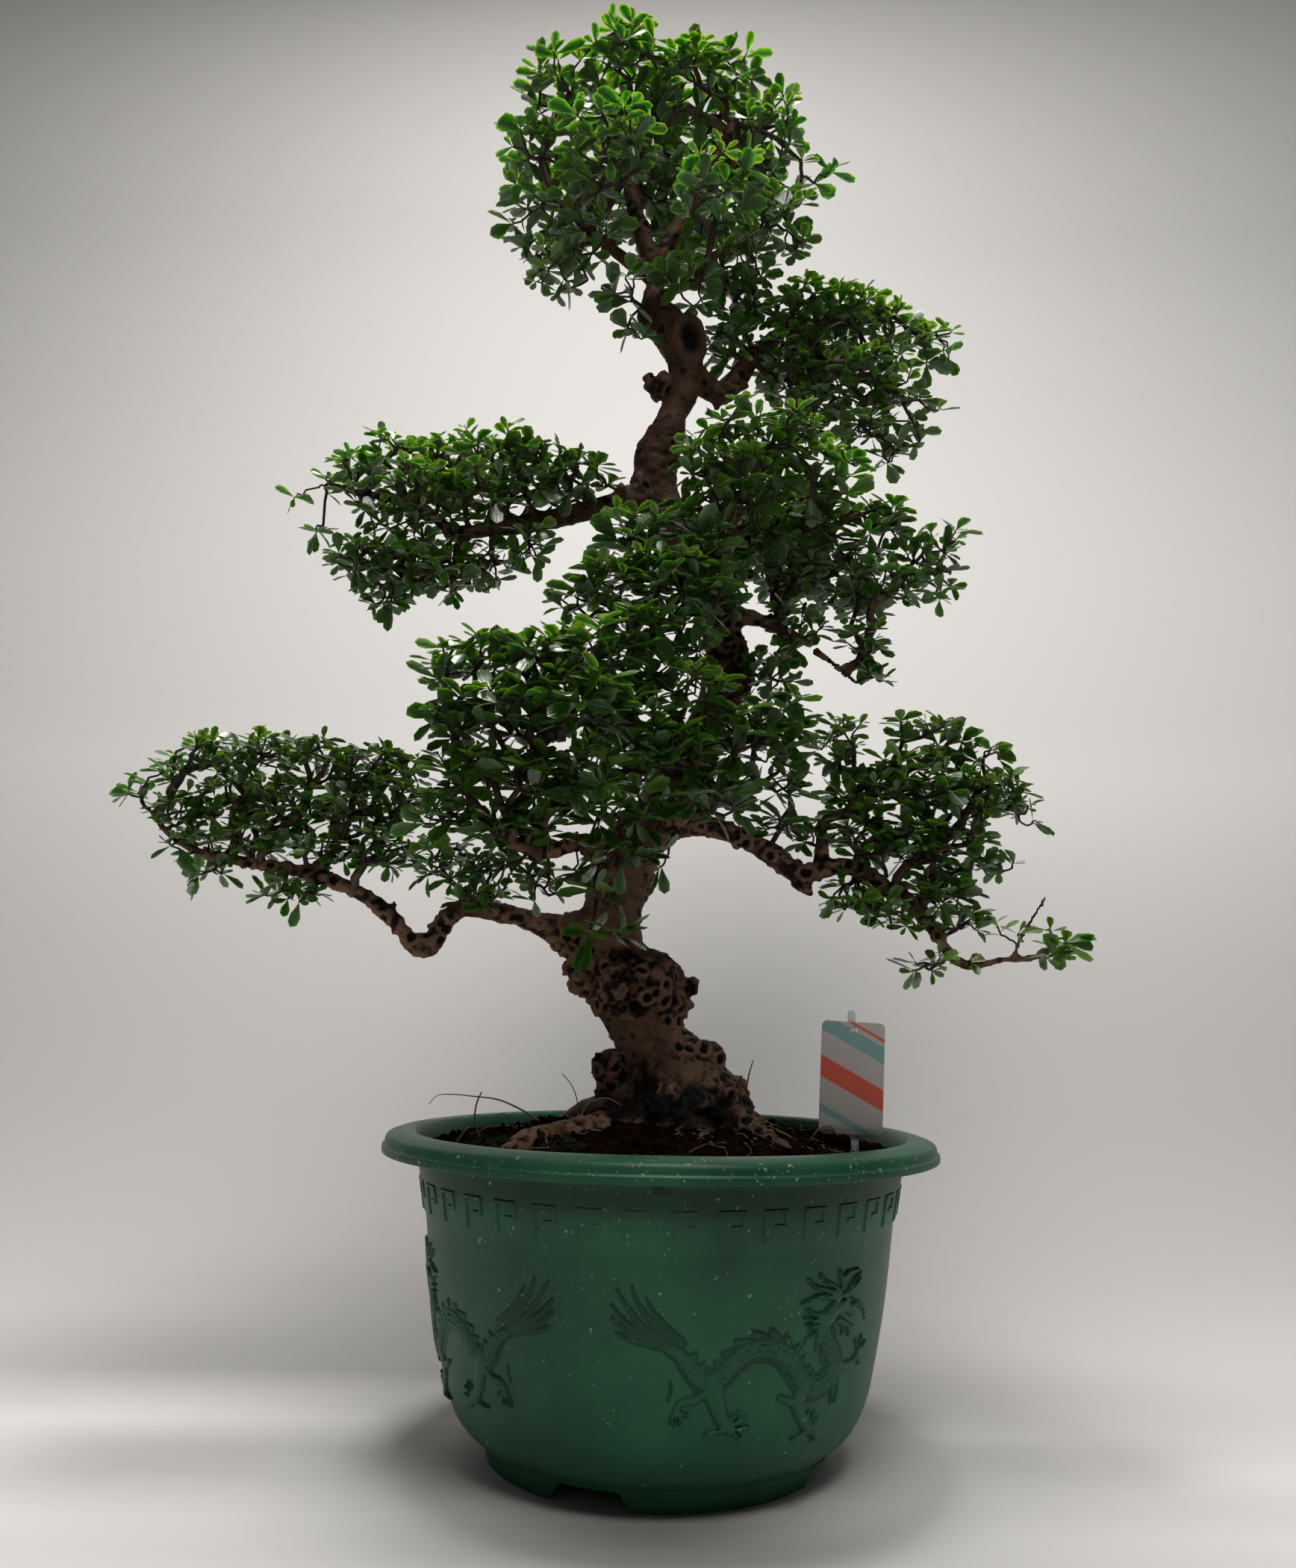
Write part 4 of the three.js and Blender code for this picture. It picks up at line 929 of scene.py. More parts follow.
def backdrop_paper(settings):
    """Pale matt paper, its colour darkened and lightened by painted shadow and light. Its wall glows softly,
    most to the right of the tree, by e to minus the square of the distance, scaled in width and height."""
    material, shader, place = new_material("backdrop_paper")
    black = colour((0, 0, 0))
    across, above = (
        ((place.axis(axis) - middle) * (1 / reach)).maths("POWER", 2)
        for axis, middle, reach in zip((0, 2), GLOW["middle"], GLOW["reach"])
    )
    falling = ((across + above) * -1).maths("EXPONENT")
    glow = falling * GLOW["peak"] * place.axis(2).between(0, 0.9)
    fill(shader, {
        # The tone attribute carries painted light and shade
        "Base Color": blended(attribute(place, "tone"), black, colour(settings.backdrop_colour)),
        "Roughness": 0.9,
        "Emission Color": blended(glow, black, colour((1, 0.985, 0.97))),
        "Emission Strength": settings.glow,
    })
    return material


# The pot

def wall_radius(heights):
    """Outside radius of the pot's wall at each height, under the lip."""
    radius, height, _ = zip(*POT_OUTSIDE[POT_WALL])
    return np.interp(heights, height, radius)


def on_wall(degrees, heights, proud):
    """Places on the pot's wall, by degrees round from the front, height, and how far they stand proud."""
    angle = np.radians(degrees)
    radius = wall_radius(heights) + proud
    return np.stack([radius * np.sin(angle), -radius * np.cos(angle), heights], axis=-1)


def notch_height(degrees):
    """How high the foot's lower edge is cut, round the pot: a flat-topped notch with sloped sides."""
    step = 360 / NOTCHES
    off = np.abs((degrees - MOULD_TURN + step / 2) % step - step / 2)
    half = NOTCH_DEGREES / 2
    return NOTCH_HEIGHT * (1 - smoothstep(half - 4, half, off))


def pot_shape():
    """The pot turned round its axis, its foot notched, its wall and rim a little uneven, and its floor made
    of one sector for each round drain hole."""
    profile = divided(filleted(POT_OUTSIDE), LONGEST_SPAN)
    wall = turned(profile, POT_COLUMNS)
    points = wall["points"]
    degrees = np.degrees(np.arctan2(points[:, 0], -points[:, 1]))
    height = points[:, 2]
    foot = height < POT_FLOOR - 0.5
    lifted = np.maximum(height, notch_height(degrees))
    points[foot, 2] = lifted[foot]
    radius = np.hypot(points[:, 0], points[:, 1])
    uneven = 0.5 * smooth_noise(points, 90, 5) + 0.12 * smooth_noise(points, 17, 6)
    uneven *= smoothstep(16, 40, height) * (radius > 100)
    points[:, :2] *= (1 + uneven / np.maximum(radius, 1))[:, None]
    points[:, 2] += 0.7 * smooth_noise(points, 110, 7) * smoothstep(196, 210, height)
    front = np.exp(-((degrees + 5) / 26) ** 2)
    stain = smoothstep(168, 196, height) * (radius < 179) * (0.25 + 0.75 * front)
    # Painted shade under the lip and low on the wall, where the rim and the curve of the wall keep light off
    skin = shape(points, wall["faces"], splash=pot_splash(points), stain=stain, grime=pot_grime(height))
    return merged([skin, *(floor_part(k, profile) for k in range(DRAIN_HOLES))])


def pot_splash(points):
    """Share of the pale specks: most on the rim, fewer low down, uneven all over."""
    height = points[:, 2]
    rim = 0.36 * smoothstep(195, 207, height)
    upper = 0.15 * smoothstep(60, 165, height)
    return (0.06 + rim + upper) * (0.75 + 0.6 * smooth_noise(points, 60, 9))


def pot_grime(heights):
    """How much painted shade the pot gets at each height: most under its lip, and a little near the bottom.
    """
    lip = 0.72 * smoothstep(173, 187, heights) - 0.44 * smoothstep(196, 203, heights)
    low = 0.24 * (1 - smoothstep(16, 46, heights)) * smoothstep(13, 17, heights)
    return np.maximum(lip, low)


def floor_part(number, profile):
    """A sector of the floor round one drain hole: under side, hole wall and upper side."""
    share = POT_COLUMNS // DRAIN_HOLES
    steps = np.arange(share + 1) * 2 * math.pi / POT_COLUMNS
    angles = steps + number * 2 * math.pi / DRAIN_HOLES
    middle_angle = angles[share // 2]
    middle = DRAIN_CIRCLE * np.array([math.cos(middle_angle), math.sin(middle_angle)])
    loops = []
    for edge in (profile[0][0], profile[-1][0]):
        arc = edge * np.stack([np.cos(angles), np.sin(angles)], axis=-1)
        inner = np.linspace(0, 1, 7)[:-1, None]
        outline = np.concatenate([arc[0] * inner, arc, (arc[-1] * inner)[:0:-1]])
        loops.append(ring_sheet(middle, DRAIN_RADIUS, outline, 4))
    under, upper = loops
    rings = [np.insert(ring, 2, POT_FLOOR, axis=1) for ring in under[::-1]]
    rings += [np.insert(ring, 2, POT_FLOOR_TOP, axis=1) for ring in upper]
    points = np.concatenate(rings)
    faces = grid_faces(len(rings), under.shape[1], around=True)[:, ::-1]
    none = np.zeros(len(points))
    return shape(points, [faces], splash=none, stain=none, grime=none)


def hook_shape(relief):
    """One flat hook: the raised part of a small grid whose lines lie on the rectangles' edges and a bevel to
    both sides of them."""
    lines = []
    for low, high in ((0, 2), (1, 3)):
        edges = sorted({value for bar in HOOK for value in (bar[low], bar[high])})
        near = {edge + shift for edge in edges for shift in (0, HOOK_BEVEL, -HOOK_BEVEL)}
        lines.append(np.array(sorted(value for value in near if edges[0] <= value <= edges[-1])))
    across, up = np.meshgrid(*lines)
    depth = np.max([inside_bar(across, up, bar) for bar in HOOK], axis=0)
    cells = grid_faces(len(lines[1]), len(lines[0]))
    middle = np.stack([across, up], axis=-1).reshape(-1, 2)[cells].mean(axis=1)
    kept = np.max([inside_bar(middle[:, 0], middle[:, 1], bar) for bar in HOOK], axis=0) > 0
    height = np.clip(depth / HOOK_BEVEL, 0, 1) * relief
    return across.reshape(-1), up.reshape(-1), height.reshape(-1), cells[kept]


def inside_bar(across, up, bar):
    """How far inside a rectangle each place lies; below 0 outside it."""
    left, bottom, right, top = bar
    return np.minimum.reduce([across - left, right - across, up - bottom, top - up])


def fret_shape(count, relief):
    """The hooks set evenly round the band, lower where the mould is worn."""
    across, up, height, cells = hook_shape(relief)
    heights = HOOK_FOOT + up
    hooks = []
    for k in range(count):
        start = HOOK_AT + 360 * k / count
        degrees = start + np.degrees(across / wall_radius(heights))
        off = np.abs((degrees - FADED_AT + 180) % 360 - 180)
        worn = 0.22 + 0.78 * smoothstep(0, FADED_SPREAD, off)
        top = on_wall(degrees, heights, height * worn + 0.12)
        hooks.append(slab(top, on_wall(degrees, heights, -1.0), cells))
    fret = merged(hooks)
    points = fret["points"]
    # Painted shade under the lip, and a little darkening on every hook
    grime = np.maximum(pot_grime(points[:, 2]), 0.12)
    return shape(points, fret["faces"], splash=pot_splash(points), stain=0 * grime, grime=grime)


def nearest_on(route, places):
    """For each place, its distance from a route, its side, and how far along the route it is, as a length
    and in points of the route: the nearest of all spans."""
    start, end = route[:-1, :2], route[1:, :2]
    span = end - start
    spans = np.linalg.norm(span, axis=1)
    off = places[:, None] - start
    t = np.clip(np.sum(off * span, axis=-1) / spans**2, 0, 1)
    gap = off - t[..., None] * span
    far = np.linalg.norm(gap, axis=-1)
    best = np.argmin(far, axis=1)
    rows = np.arange(len(places))
    side = span[best, 0] * gap[rows, best, 1] - span[best, 1] * gap[rows, best, 0]
    passed = np.concatenate([[0], np.cumsum(spans)])[best] + t[rows, best] * spans[best]
    return far[rows, best], np.sign(side), passed, best + t[rows, best]


def dragon_heights(places, relief):
    """Height of the dragon's relief at places [along the wall, height]: the greatest of its rounded strokes.
    The body has staggered round scales, plates across its belly and hooked spines on its back."""
    scale = np.radians(1) * wall_radius(90.0)
    body = smooth_route([[d * scale, z, w] for d, z, w in DRAGON_BODY], 8)
    far, side, passed, at = nearest_on(body, places)
    half = np.interp(at, np.arange(len(body)), body[:, 2])
    across = side * far
    rounded = np.sqrt(np.clip(1 - (far / half) ** 2, 0, 1))
    row = across / (0.8 * SCALE_SIZE)
    column = passed / SCALE_SIZE + 0.5 * (np.floor(row) % 2)
    from_middle = np.hypot(column % 1 - 0.5, 0.85 * (row % 1 - 0.35))
    scales = 1 - smoothstep(0.34, 0.56, from_middle)
    plates = 0.5 + 0.5 * np.cos(2 * math.pi * passed / 3.4)
    belly = across < -BELLY * half
    edge = smoothstep(0.04, 0.12, np.abs(across / half + BELLY))
    skin = np.where(belly, 0.35 + 0.3 * plates, 0.42 + 0.58 * scales) * edge
    lifted = relief * (0.35 * rounded + 0.75 * rounded * skin) * smoothstep(-2, 8, passed)
    height = np.where(far < half, lifted, 0)
    beat = (passed / SPINE_PITCH + 0.09 * np.maximum(far - half, 0)) % 1
    tooth = 4.2 * np.clip(1 - 2.2 * np.abs(beat - 0.5), 0, 1) + 0.8
    spine = (side > 0) & (far >= half - 0.2) & (far < half + tooth) & (passed > 16)
    height = np.maximum(height, np.where(spine, relief * 0.5 * np.clip((half + tooth - far) / 0.9, 0, 1), 0))
    for first, last, proud, *route in DRAGON_STROKES:
        stroke = smooth_route(np.reshape(route, (-1, 2)) * [scale, 1], 6)
        reach = max(first, last)
        low, high = stroke.min(axis=0) - reach, stroke.max(axis=0) + reach
        near = np.flatnonzero(np.all((places > low) & (places < high), axis=1))
        far, _, _, at = nearest_on(stroke, places[near])
        half = np.interp(at, [0, len(stroke) - 1], [first, last])
        rounded = np.sqrt(np.clip(1 - (far / half) ** 2, 0, 1))
        height[near] = np.maximum(height[near], relief * proud * rounded)
    return height


def dragons_shape(relief, step):
    """Four dragons in low relief: one height field over a patch of the wall and its mirror image, at the
    front and again half way round."""
    first, last = DRAGON_REACH["degrees"]
    low, high = DRAGON_REACH["heights"]
    scale = np.radians(1) * wall_radius(90.0)
    columns = int((last - first) * scale / step)
    rows = int((high - low) / step)
    degrees, heights = np.meshgrid(np.linspace(first, last, columns), np.linspace(low, high, rows))
    places = np.stack([degrees * scale, heights], axis=-1).reshape(-1, 2)
    proud = dragon_heights(places, relief).reshape(rows, columns)
    cells = grid_faces(rows, columns)
    made = []
    up = heights.reshape(-1)
    for mirrored, turn in itertools.product((False, True), (0, 180)):
        angle = 2 * DRAGON_TURN - degrees[:, ::-1] if mirrored else degrees
        angle = (angle + turn).reshape(-1)
        lift = (proud[:, ::-1] if mirrored else proud).reshape(-1)
        raised = lift[cells].max(axis=1) > 0.12
        dragon = slab(on_wall(angle, up, lift - 0.05), on_wall(angle, up, -1.2), cells[raised])
        points = dragon["points"]
        outside = np.hypot(*points[:, :2].T) - wall_radius(points[:, 2])
        # Painted shade in the grooves between scales and strokes, over a little darkening of the whole
        # relief, partly dirt
        groove_shade = 1 - smoothstep(0.25, 0.8, outside / relief)
        values = {"splash": pot_splash(points), "stain": 0 * groove_shade, "grime": 0.1 + 0.45 * groove_shade}
        made.append(shape(points, dragon["faces"], **values))
    return made


# The wood

def wood_routes():
    """Every stem as a smooth curve of [x, y, z, half width]."""
    return [smooth_route(route, 6) for route in [TRUNK, *LIMBS, *ROOTS]]


def near_wood(points, curves):
    """For each point, the half width and direction of the nearest stem and the distance from its skin, in
    blocks that keep the table of distances small."""
    middles = np.concatenate([curve[:, :3] for curve in curves])
    halves = np.concatenate([curve[:, 3] for curve in curves])
    ways = np.concatenate([unit(np.gradient(curve[:, :3], axis=0)) for curve in curves])
    nearest = np.empty(len(points), int)
    gap = np.empty(len(points))
    for start in range(0, len(points), 4000):
        block = slice(start, start + 4000)
        far = np.linalg.norm(points[block, None] - middles[None], axis=-1) - halves
        nearest[block] = np.argmin(far, axis=1)
        gap[block] = np.min(far, axis=1)
    return halves[nearest], ways[nearest], gap


def remeshed(made, voxel):
    """A shape of overlapping closed parts as one skin of quads, on a lattice of that voxel size."""
    mesh = bpy.data.meshes.new("overlapping")
    faces = [face for block in made["faces"] for face in block.tolist()]
    mesh.from_pydata((made["points"] * MM).tolist(), [], faces)
    holder = bpy.data.objects.new("overlapping", mesh)
    bpy.context.collection.objects.link(holder)
    modifier = holder.modifiers.new("skin", "REMESH")
    modifier.mode = "VOXEL"
    modifier.voxel_size = voxel * MM
    evaluated = holder.evaluated_get(bpy.context.evaluated_depsgraph_get())
    skin = evaluated.to_mesh()
    points = np.empty(len(skin.vertices) * 3, np.float32)
    skin.vertices.foreach_get("co", points)
    corners = np.empty(len(skin.loops), np.int32)
    skin.loops.foreach_get("vertex_index", corners)
    evaluated.to_mesh_clear()
    bpy.data.objects.remove(holder)
    bpy.data.meshes.remove(mesh)
    return points.reshape(-1, 3).astype(float) / MM, corners.reshape(-1, 4)


def relaxed(points, quads, rounds):
    """Points moved towards the mean of their neighbours, and then a little back so that nothing shrinks."""
    edges = np.concatenate([quads[:, [k, (k + 1) % 4]] for k in range(4)])
    start, end = edges.T
    count = np.bincount(start, minlength=len(points))[:, None]
    for amount in [0.6, -0.55] * rounds:
        mean = np.stack([np.bincount(start, points[end, k], len(points)) for k in range(3)], axis=-1) / count
        points = points + amount * (mean - points)
    return points


def vertex_normals(points, quads):
    """Normals of the quads from their diagonals, added up at each vertex."""
    a, b, c, d = (points[quads[:, k]] for k in range(4))
    across = np.cross(c - a, d - b)
    corner = quads.T.reshape(-1)
    spread = np.tile(across, (4, 1))
    total = np.stack([np.bincount(corner, spread[:, k], len(points)) for k in range(3)], axis=-1)
    return unit(total)


def burl_amount(points, girth):
    """1 in each place of rough bark, falling to 0 at its reach, broken up by noise. Thin limbs are rough in
    patches all along."""
    broken = 0.16 * layered_noise(points, 16, 31)
    patches = smoothstep(0.0, 0.5, layered_noise(points, 26, 33)) * (1 - smoothstep(7, 13, girth))
    amount = 0.8 * patches
    for x, y, z, reach in ROUGH_BARK:
        far = np.linalg.norm(points - [x, y, z], axis=1) / reach
        amount = np.maximum(amount, 1 - smoothstep(0.78, 1.12, far + broken))
    return amount


def hollow_amount(points):
    """How deep the sunken places are, in millimetres, and how much painted shade darkens them, from 0 to 1.
    """
    depth = np.zeros(len(points))
    dark = np.zeros(len(points))
    uneven = 0.22 * layered_noise(points, 9, 35)
    for x, y, z, half, height, deep in HOLLOWS:
        far = np.linalg.norm((points - [x, y, z]) / [half, 1.6 * half, height], axis=1) + uneven
        inside = 1 - smoothstep(0.55, 1.05, far)
        depth = np.maximum(depth, deep * inside)
        dark = np.maximum(dark, inside)
    return depth, dark


def scar_form(points):
    """The cut scar, a ring of callus round a sunken oval: the height to add, and how hollow and how much
    callus it is."""
    facing = unit(np.array(SCAR["facing"], float))
    level = unit(np.cross([0, 0, 1.0], facing))
    up = np.cross(facing, level)
    lean = math.radians(SCAR["lean"])
    level, up = level * math.cos(lean) + up * math.sin(lean), up * math.cos(lean) - level * math.sin(lean)
    off = points - SCAR["middle"]
    oval = np.hypot(off @ level / SCAR["half_size"][0], off @ up / SCAR["half_size"][1])
    front = (off @ facing > -12) & (oval < 2)
    ring = np.exp(-(((oval - 1.0) / 0.22) ** 2))
    hollow = 1 - smoothstep(0.6, 0.8, oval)
    return np.where(front, 3.4 * ring - 5 * hollow, 0), np.where(front, hollow, 0), np.where(front, ring, 0)


def limb_spurs(curves, random):
    """Short dead spurs on the limbs: at about even steps, square to the stem in a random direction, each
    reaches a little past the bark."""
    routes, radii = [], []
    for curve in curves[1:1 + len(LIMBS)]:
        places = curve[:, :3]
        passed = np.concatenate([[0], np.cumsum(length(np.diff(places, axis=0))[:, 0])])
        at = np.arange(26, passed[-1] - 8, 17.0)
        at += random.uniform(-6, 6, len(at))
        middle = np.stack([np.interp(at, passed, places[:, k]) for k in range(3)], axis=-1)
        half = np.interp(at, passed, curve[:, 3])
        way = unit(np.stack([np.interp(at, passed, np.gradient(places[:, k])) for k in range(3)], axis=-1))
        out = unit(np.cross(way, random.normal(size=(len(at), 3))))
        reach = half + random.uniform(1.5, 5.5, len(at))
        end = middle + (out + 0.25 * random.normal(size=out.shape)) * reach[:, None]
        routes.append(np.stack([middle, (middle + end) / 2, end], axis=1))
        base = np.clip(0.45 * half + 1.2, 1.6, 5)
        radii.append(np.stack([base, 0.9 * base, 0.55 * base], axis=1))
    return tubes(np.concatenate(routes), np.concatenate(radii), 7)


def wood_shape(settings):
    """Trunk, limbs, roots, burls and spurs under one relaxed skin, moved along its normals by the bark's
    lumps, ridges and pits, the burls' knobs and rings, and the scar's callus."""
    curves = wood_routes()
    random = np.random.default_rng(settings.seed)
    parts = [tubes(curve[None, :, :3], curve[None, :, 3], 20) for curve in curves]
    parts += [stem(route, 4, 14) for route in SPURS]
    parts.append(limb_spurs(curves, random))
    parts = [shape(part["points"], part["faces"]) for part in parts]
    parts += [lump([x, y, z], [half, half, 0.88 * half]) for x, y, z, half in BURLS]
    points, quads = remeshed(merged(parts), settings.bark_voxel / MM)
    points = relaxed(points, quads, 2)
    normals = vertex_normals(points, quads)
    girth, way, _ = near_wood(points, curves)
    rough = burl_amount(points, girth)
    sunk, dark = hollow_amount(points)
    scar, hollow, callus = scar_form(points)
    thick = np.clip(girth / 20, 0.15, 1.3)
    along = np.sum(points * way, axis=1, keepdims=True)
    stretched = points - 0.72 * along * way
    lumps = 2.4 * layered_noise(points, 30, 3)
    ridges = 1.1 * layered_noise(stretched, 8, 11)
    pits = -1.5 * smoothstep(0.52, 0.75, smooth_noise(points, 5.5, 17)) * smoothstep(3, 9, girth)
    ring_at = cell_distance(points, 12, 21)
    rings = 2.6 * np.exp(-(((ring_at - 0.42) / 0.12) ** 2)) - 2.6 * (1 - smoothstep(0.08, 0.3, ring_at))
    warts = 2.4 * (0.5 - cell_distance(points, 5.4, 22)) + 1.1 * smooth_noise(points, 3.6, 23)
    knobs = rough * (rings + warts) * np.clip(girth / 12, 0.45, 1.15)
    flat = np.clip(1 - np.maximum(hollow, 0.8 * callus), 0, 1)
    plain = thick * (lumps + ridges * (1 - 0.5 * rough)) + pits * (1 - rough)
    raised = settings.bark_depth * (plain + knobs) - sunk
    points = points + normals * (raised * flat + scar)[:, None]
    # Painted light and shade for the colour: lighter on raised rings and warts, darker in their sunk middles
    shade = np.clip(0.5 + (rings + warts) / 6, 0, 1)
    # Painted shade in the sunken places and the scar's sunk middle
    dark = np.maximum(dark, hollow)
    return shape(points, [quads], rough=rough * (1 - callus), hollow=dark, ridge=shade, callus=callus)


def fine_roots_shape(random):
    """Wiry roots: the standing ones along their routes, and many more that wander over the soil."""
    made = [stem(route, 4, 5) for route in WILD_ROOTS]
    count, stations = 46, 12
    angle = random.uniform(0, 2 * math.pi, count)
    reach = random.uniform(45, 110, count)
    routes = np.empty((count, stations, 3))
    for k in range(stations):
        routes[:, k, 0] = 14 + reach * np.cos(angle)
        routes[:, k, 1] = reach * np.sin(angle)
        reach += random.uniform(1, 8, count)
        angle += random.uniform(-0.09, 0.09, count)
    flat = routes.reshape(-1, 3)
    inside = np.minimum(1, 160 / np.hypot(flat[:, 0], flat[:, 1]))
    flat[:, :2] *= inside[:, None]
    flat[:, 2] = soil_height(flat[:, :2]) + random.uniform(-0.5, 0.9, len(flat))
    radii = random.uniform(0.35, 0.95, (count, 1)) * np.linspace(1, 0.4, stations)
    made.append(tubes(flat.reshape(count, stations, 3), radii, 4))
    return merged(made)


# The soil

def soil_height(places):
    """Height of the soil at places [x, y]: the mound's profile with broad lumps and fine crumbs."""
    radius = np.hypot(places[:, 0], places[:, 1])
    mound = np.interp(radius, *zip(*SOIL_TOP))
    lumps = 2.2 * np.sin(places[:, 0] / 17) * np.cos(places[:, 1] / 13) * (1 - smoothstep(150, 168, radius))
    flat = np.insert(places, 2, 0, axis=1)
    crumbs = 1.7 * layered_noise(flat, 11, 41) + 1.3 * (0.5 - cell_distance(flat, 5.2, 43))
    return mound + lumps + crumbs


def moss_amount(places):
    """1 in the middle of each mossy place, fading to 0 at its edge."""
    amount = np.zeros(len(places))
    for x, y, reach in MOSS_PLACES:
        far = np.hypot(places[:, 0] - x, places[:, 1] - y) / reach
        amount = np.maximum(amount, 1 - smoothstep(0.4, 1.1, far))
    return amount


def soil_shape(random):
    """The mounded soil as rings from its middle out to the wall and back under it, with crumbs on top."""
    columns = 256
    rings = [[radius, 0] for radius in np.linspace(36, 169, 72)]
    body = turned(rings + SOIL_EDGE, columns)
    points = body["points"]
    top = np.arange(len(points)) < len(rings) * columns
    points[top, 2] = soil_height(points[top, :2])
    ring = np.arange(columns)[None]
    faces = [body["faces"][0][:, ::-1], (ring + len(points) - columns)[:, ::-1], ring]
    ground = shape(points, faces, moss=moss_amount(points[:, :2]))
    return merged([ground, crumbs_shape(random)])


def crumbs_shape(random):
    """Loose crumbs: small uneven balls, each squeezed its own way, sunk in the soil."""
    count = 900
    ball = lump([0, 0, 0], [1, 1, 1], rows=4, columns=6)
    angle = random.uniform(0, 2 * math.pi, count)
    radius = 166 * np.sqrt(random.uniform(0.09, 1, count))
    places = np.column_stack([radius * np.cos(angle), radius * np.sin(angle)])
    size = random.uniform(0.8, 2.6, (count, 1)) * np.where(random.uniform(size=(count, 1)) < 0.1, 1.5, 1)
    squeeze = random.uniform(0.55, 1.0, (count, 1, 3))
    jitter = 1 + random.uniform(-0.22, 0.22, (count, len(ball["points"]), 1))
    middle = np.column_stack([places, soil_height(places) + 0.3 * size[:, 0]])
    points = middle[:, None] + ball["points"][None] * squeeze * jitter * size[:, None]
    moss = np.repeat(moss_amount(places), len(ball["points"]))
    return shape(points.reshape(-1, 3), copied(ball["faces"], count, len(ball["points"])), moss=moss)


# The leaves

def leaf_template():
    """One blade of length 1: each station has a left edge, a midrib, a right edge and a point under the
    midrib, with the edges above the midrib by the fold."""
    points = [[0, 0, 0]]
    coordinates = [[0.5, 0]]
    under = [0]
    for along, half in LEAF_STATIONS:
        lift = half * LEAF_FOLD
        points += [[along, half, lift], [along, 0, 0], [along, -half, lift], [along, 0, -LEAF_THICKNESS]]
        coordinates += [[0, along], [0.5, along], [1, along], [0.5, along]]
        under += [0, 0, 0, 1]
    points.append([1, 0, 0.02])
    coordinates.append([0.5, 1])
    under.append(0)
    around = [(0, 1), (1, 2), (2, 3), (3, 0)]
    quads = []
    for row in range(len(LEAF_STATIONS) - 1):
        a, b = 4 * row + 1, 4 * row + 5
        quads += [[a + second, b + second, b + first, a + first] for first, second in around]
    tip = len(points) - 1
    last = tip - 4
    triangles = [[0, 1 + second, 1 + first] for first, second in around]
    triangles += [[last + second, tip, last + first] for first, second in around]
    faces = [np.array(quads), np.array(triangles)]
    return np.array(points, float), faces, np.array(coordinates, float), np.array(under, float)


def leaves_shape(leaves):
    """All blades at once: the template turned to each one's direction and face, scaled to its length and
    width, and bent down by the square of the way along."""
    template, faces, coordinates, under = leaf_template()
    along, face = leaves["along"], leaves["face"]
    side = unit(np.cross(face, along))
    face = np.cross(along, side)
    size = leaves["length"][:, None, None]
    x = template[None, :, :1] * size
    y = template[None, :, 1:2] * size * leaves["width"][:, None, None]
    z = (template[None, :, 2:] - leaves["bend"][:, None, None] * template[None, :, :1] ** 2) * size
    points = leaves["root"][:, None] + x * along[:, None] + y * side[:, None] + z * face[:, None]
    count = len(along)
    each = len(template)
    return shape(
        points.reshape(-1, 3),
        copied(faces, count, each),
        uv=np.tile(coordinates, (count, 1)),
        under=np.tile(under, count),
        young=np.repeat(leaves["young"], each),
        tone=np.repeat(leaves["tone"], each),
    )


def thinned(points, apart):
    """The points that are far enough from every point kept before them."""
    kept = []
    for index, point in enumerate(points):
        if not kept or np.min(np.linalg.norm(points[kept] - point, axis=1)) > apart:
            kept.append(index)
    return np.array(kept)


def rosette_places(pad, settings, random, curves):
    """Where a pad's rosettes stand: random places in every lobe, mostly near its surface, far enough from
    each other and clear of the wood."""
    reach = settings.leaf_length / MM * pad["leaf"]
    gap = settings.rosette_gap / MM * pad["leaf"] * pad["open"]
    inset = np.array([0.3, 0.3, 0.25]) * reach
    places, outwards = [], []
    for x, y, z, half, height in pad["lobes"]:
        size = np.maximum(np.array([half, LOBE_DEPTH * half, height]) - inset, 4)
        area = 4 * math.pi * (np.mean(size[[0, 0, 2]]) ** 2)
        count = int(settings.fullness * area / gap**2) + 6
        way = unit(random.normal(size=(count, 3)))
        deep = random.uniform(0.25, 1, count)[:, None] ** 0.45
        places.append([x, y, z] + way * deep * size)
        outwards.append(way * deep)
    places, outwards = np.concatenate(places), np.concatenate(outwards)
    clear = np.flatnonzero(near_wood(places, curves)[2] > 5)
    order = clear[random.permutation(len(clear))]
    kept = order[thinned(places[order], gap)]
    return places[kept], outwards[kept]


def pad_starts(pad, curves):
    """Where a pad's twigs may leave the wood: its limb's end, and the stems' middles near its lobes."""
    middles = np.concatenate([curve[:, :3] for curve in curves[:1 + len(LIMBS)]])
    lobes = np.array(pad["lobes"], float)
    far = np.linalg.norm(middles[:, None] - lobes[None, :, :3], axis=-1)
    near = np.min(far - 1.5 * lobes[:, 3], axis=1) < 0
    return np.vstack([pad["from"], middles[near]])


def branching(places, starts, straightness):
    """How places join into twigs that begin at the first few: one by one, the place that costs least joins,
    the cost being its way to a place already reached plus a part of that one's way to the wood."""
    count = len(places)
    far = np.linalg.norm(places[:, None] - places[None, :starts], axis=-1)
    parent = np.argmin(far, axis=1)
    cost = np.min(far, axis=1)
    travelled = np.zeros(count)
    waiting = np.arange(count) >= starts
    order = []
    for _ in range(count - starts):
        chosen = int(np.argmin(np.where(waiting, cost, np.inf)))
        waiting[chosen] = False
        order.append(chosen)
        before = parent[chosen]
        travelled[chosen] = travelled[before] + np.linalg.norm(places[chosen] - places[before])
        trial = np.linalg.norm(places - places[chosen], axis=1) + straightness * travelled[chosen]
        better = waiting & (trial < cost)
        cost[better] = trial[better]
        parent[better] = chosen
    return parent, order


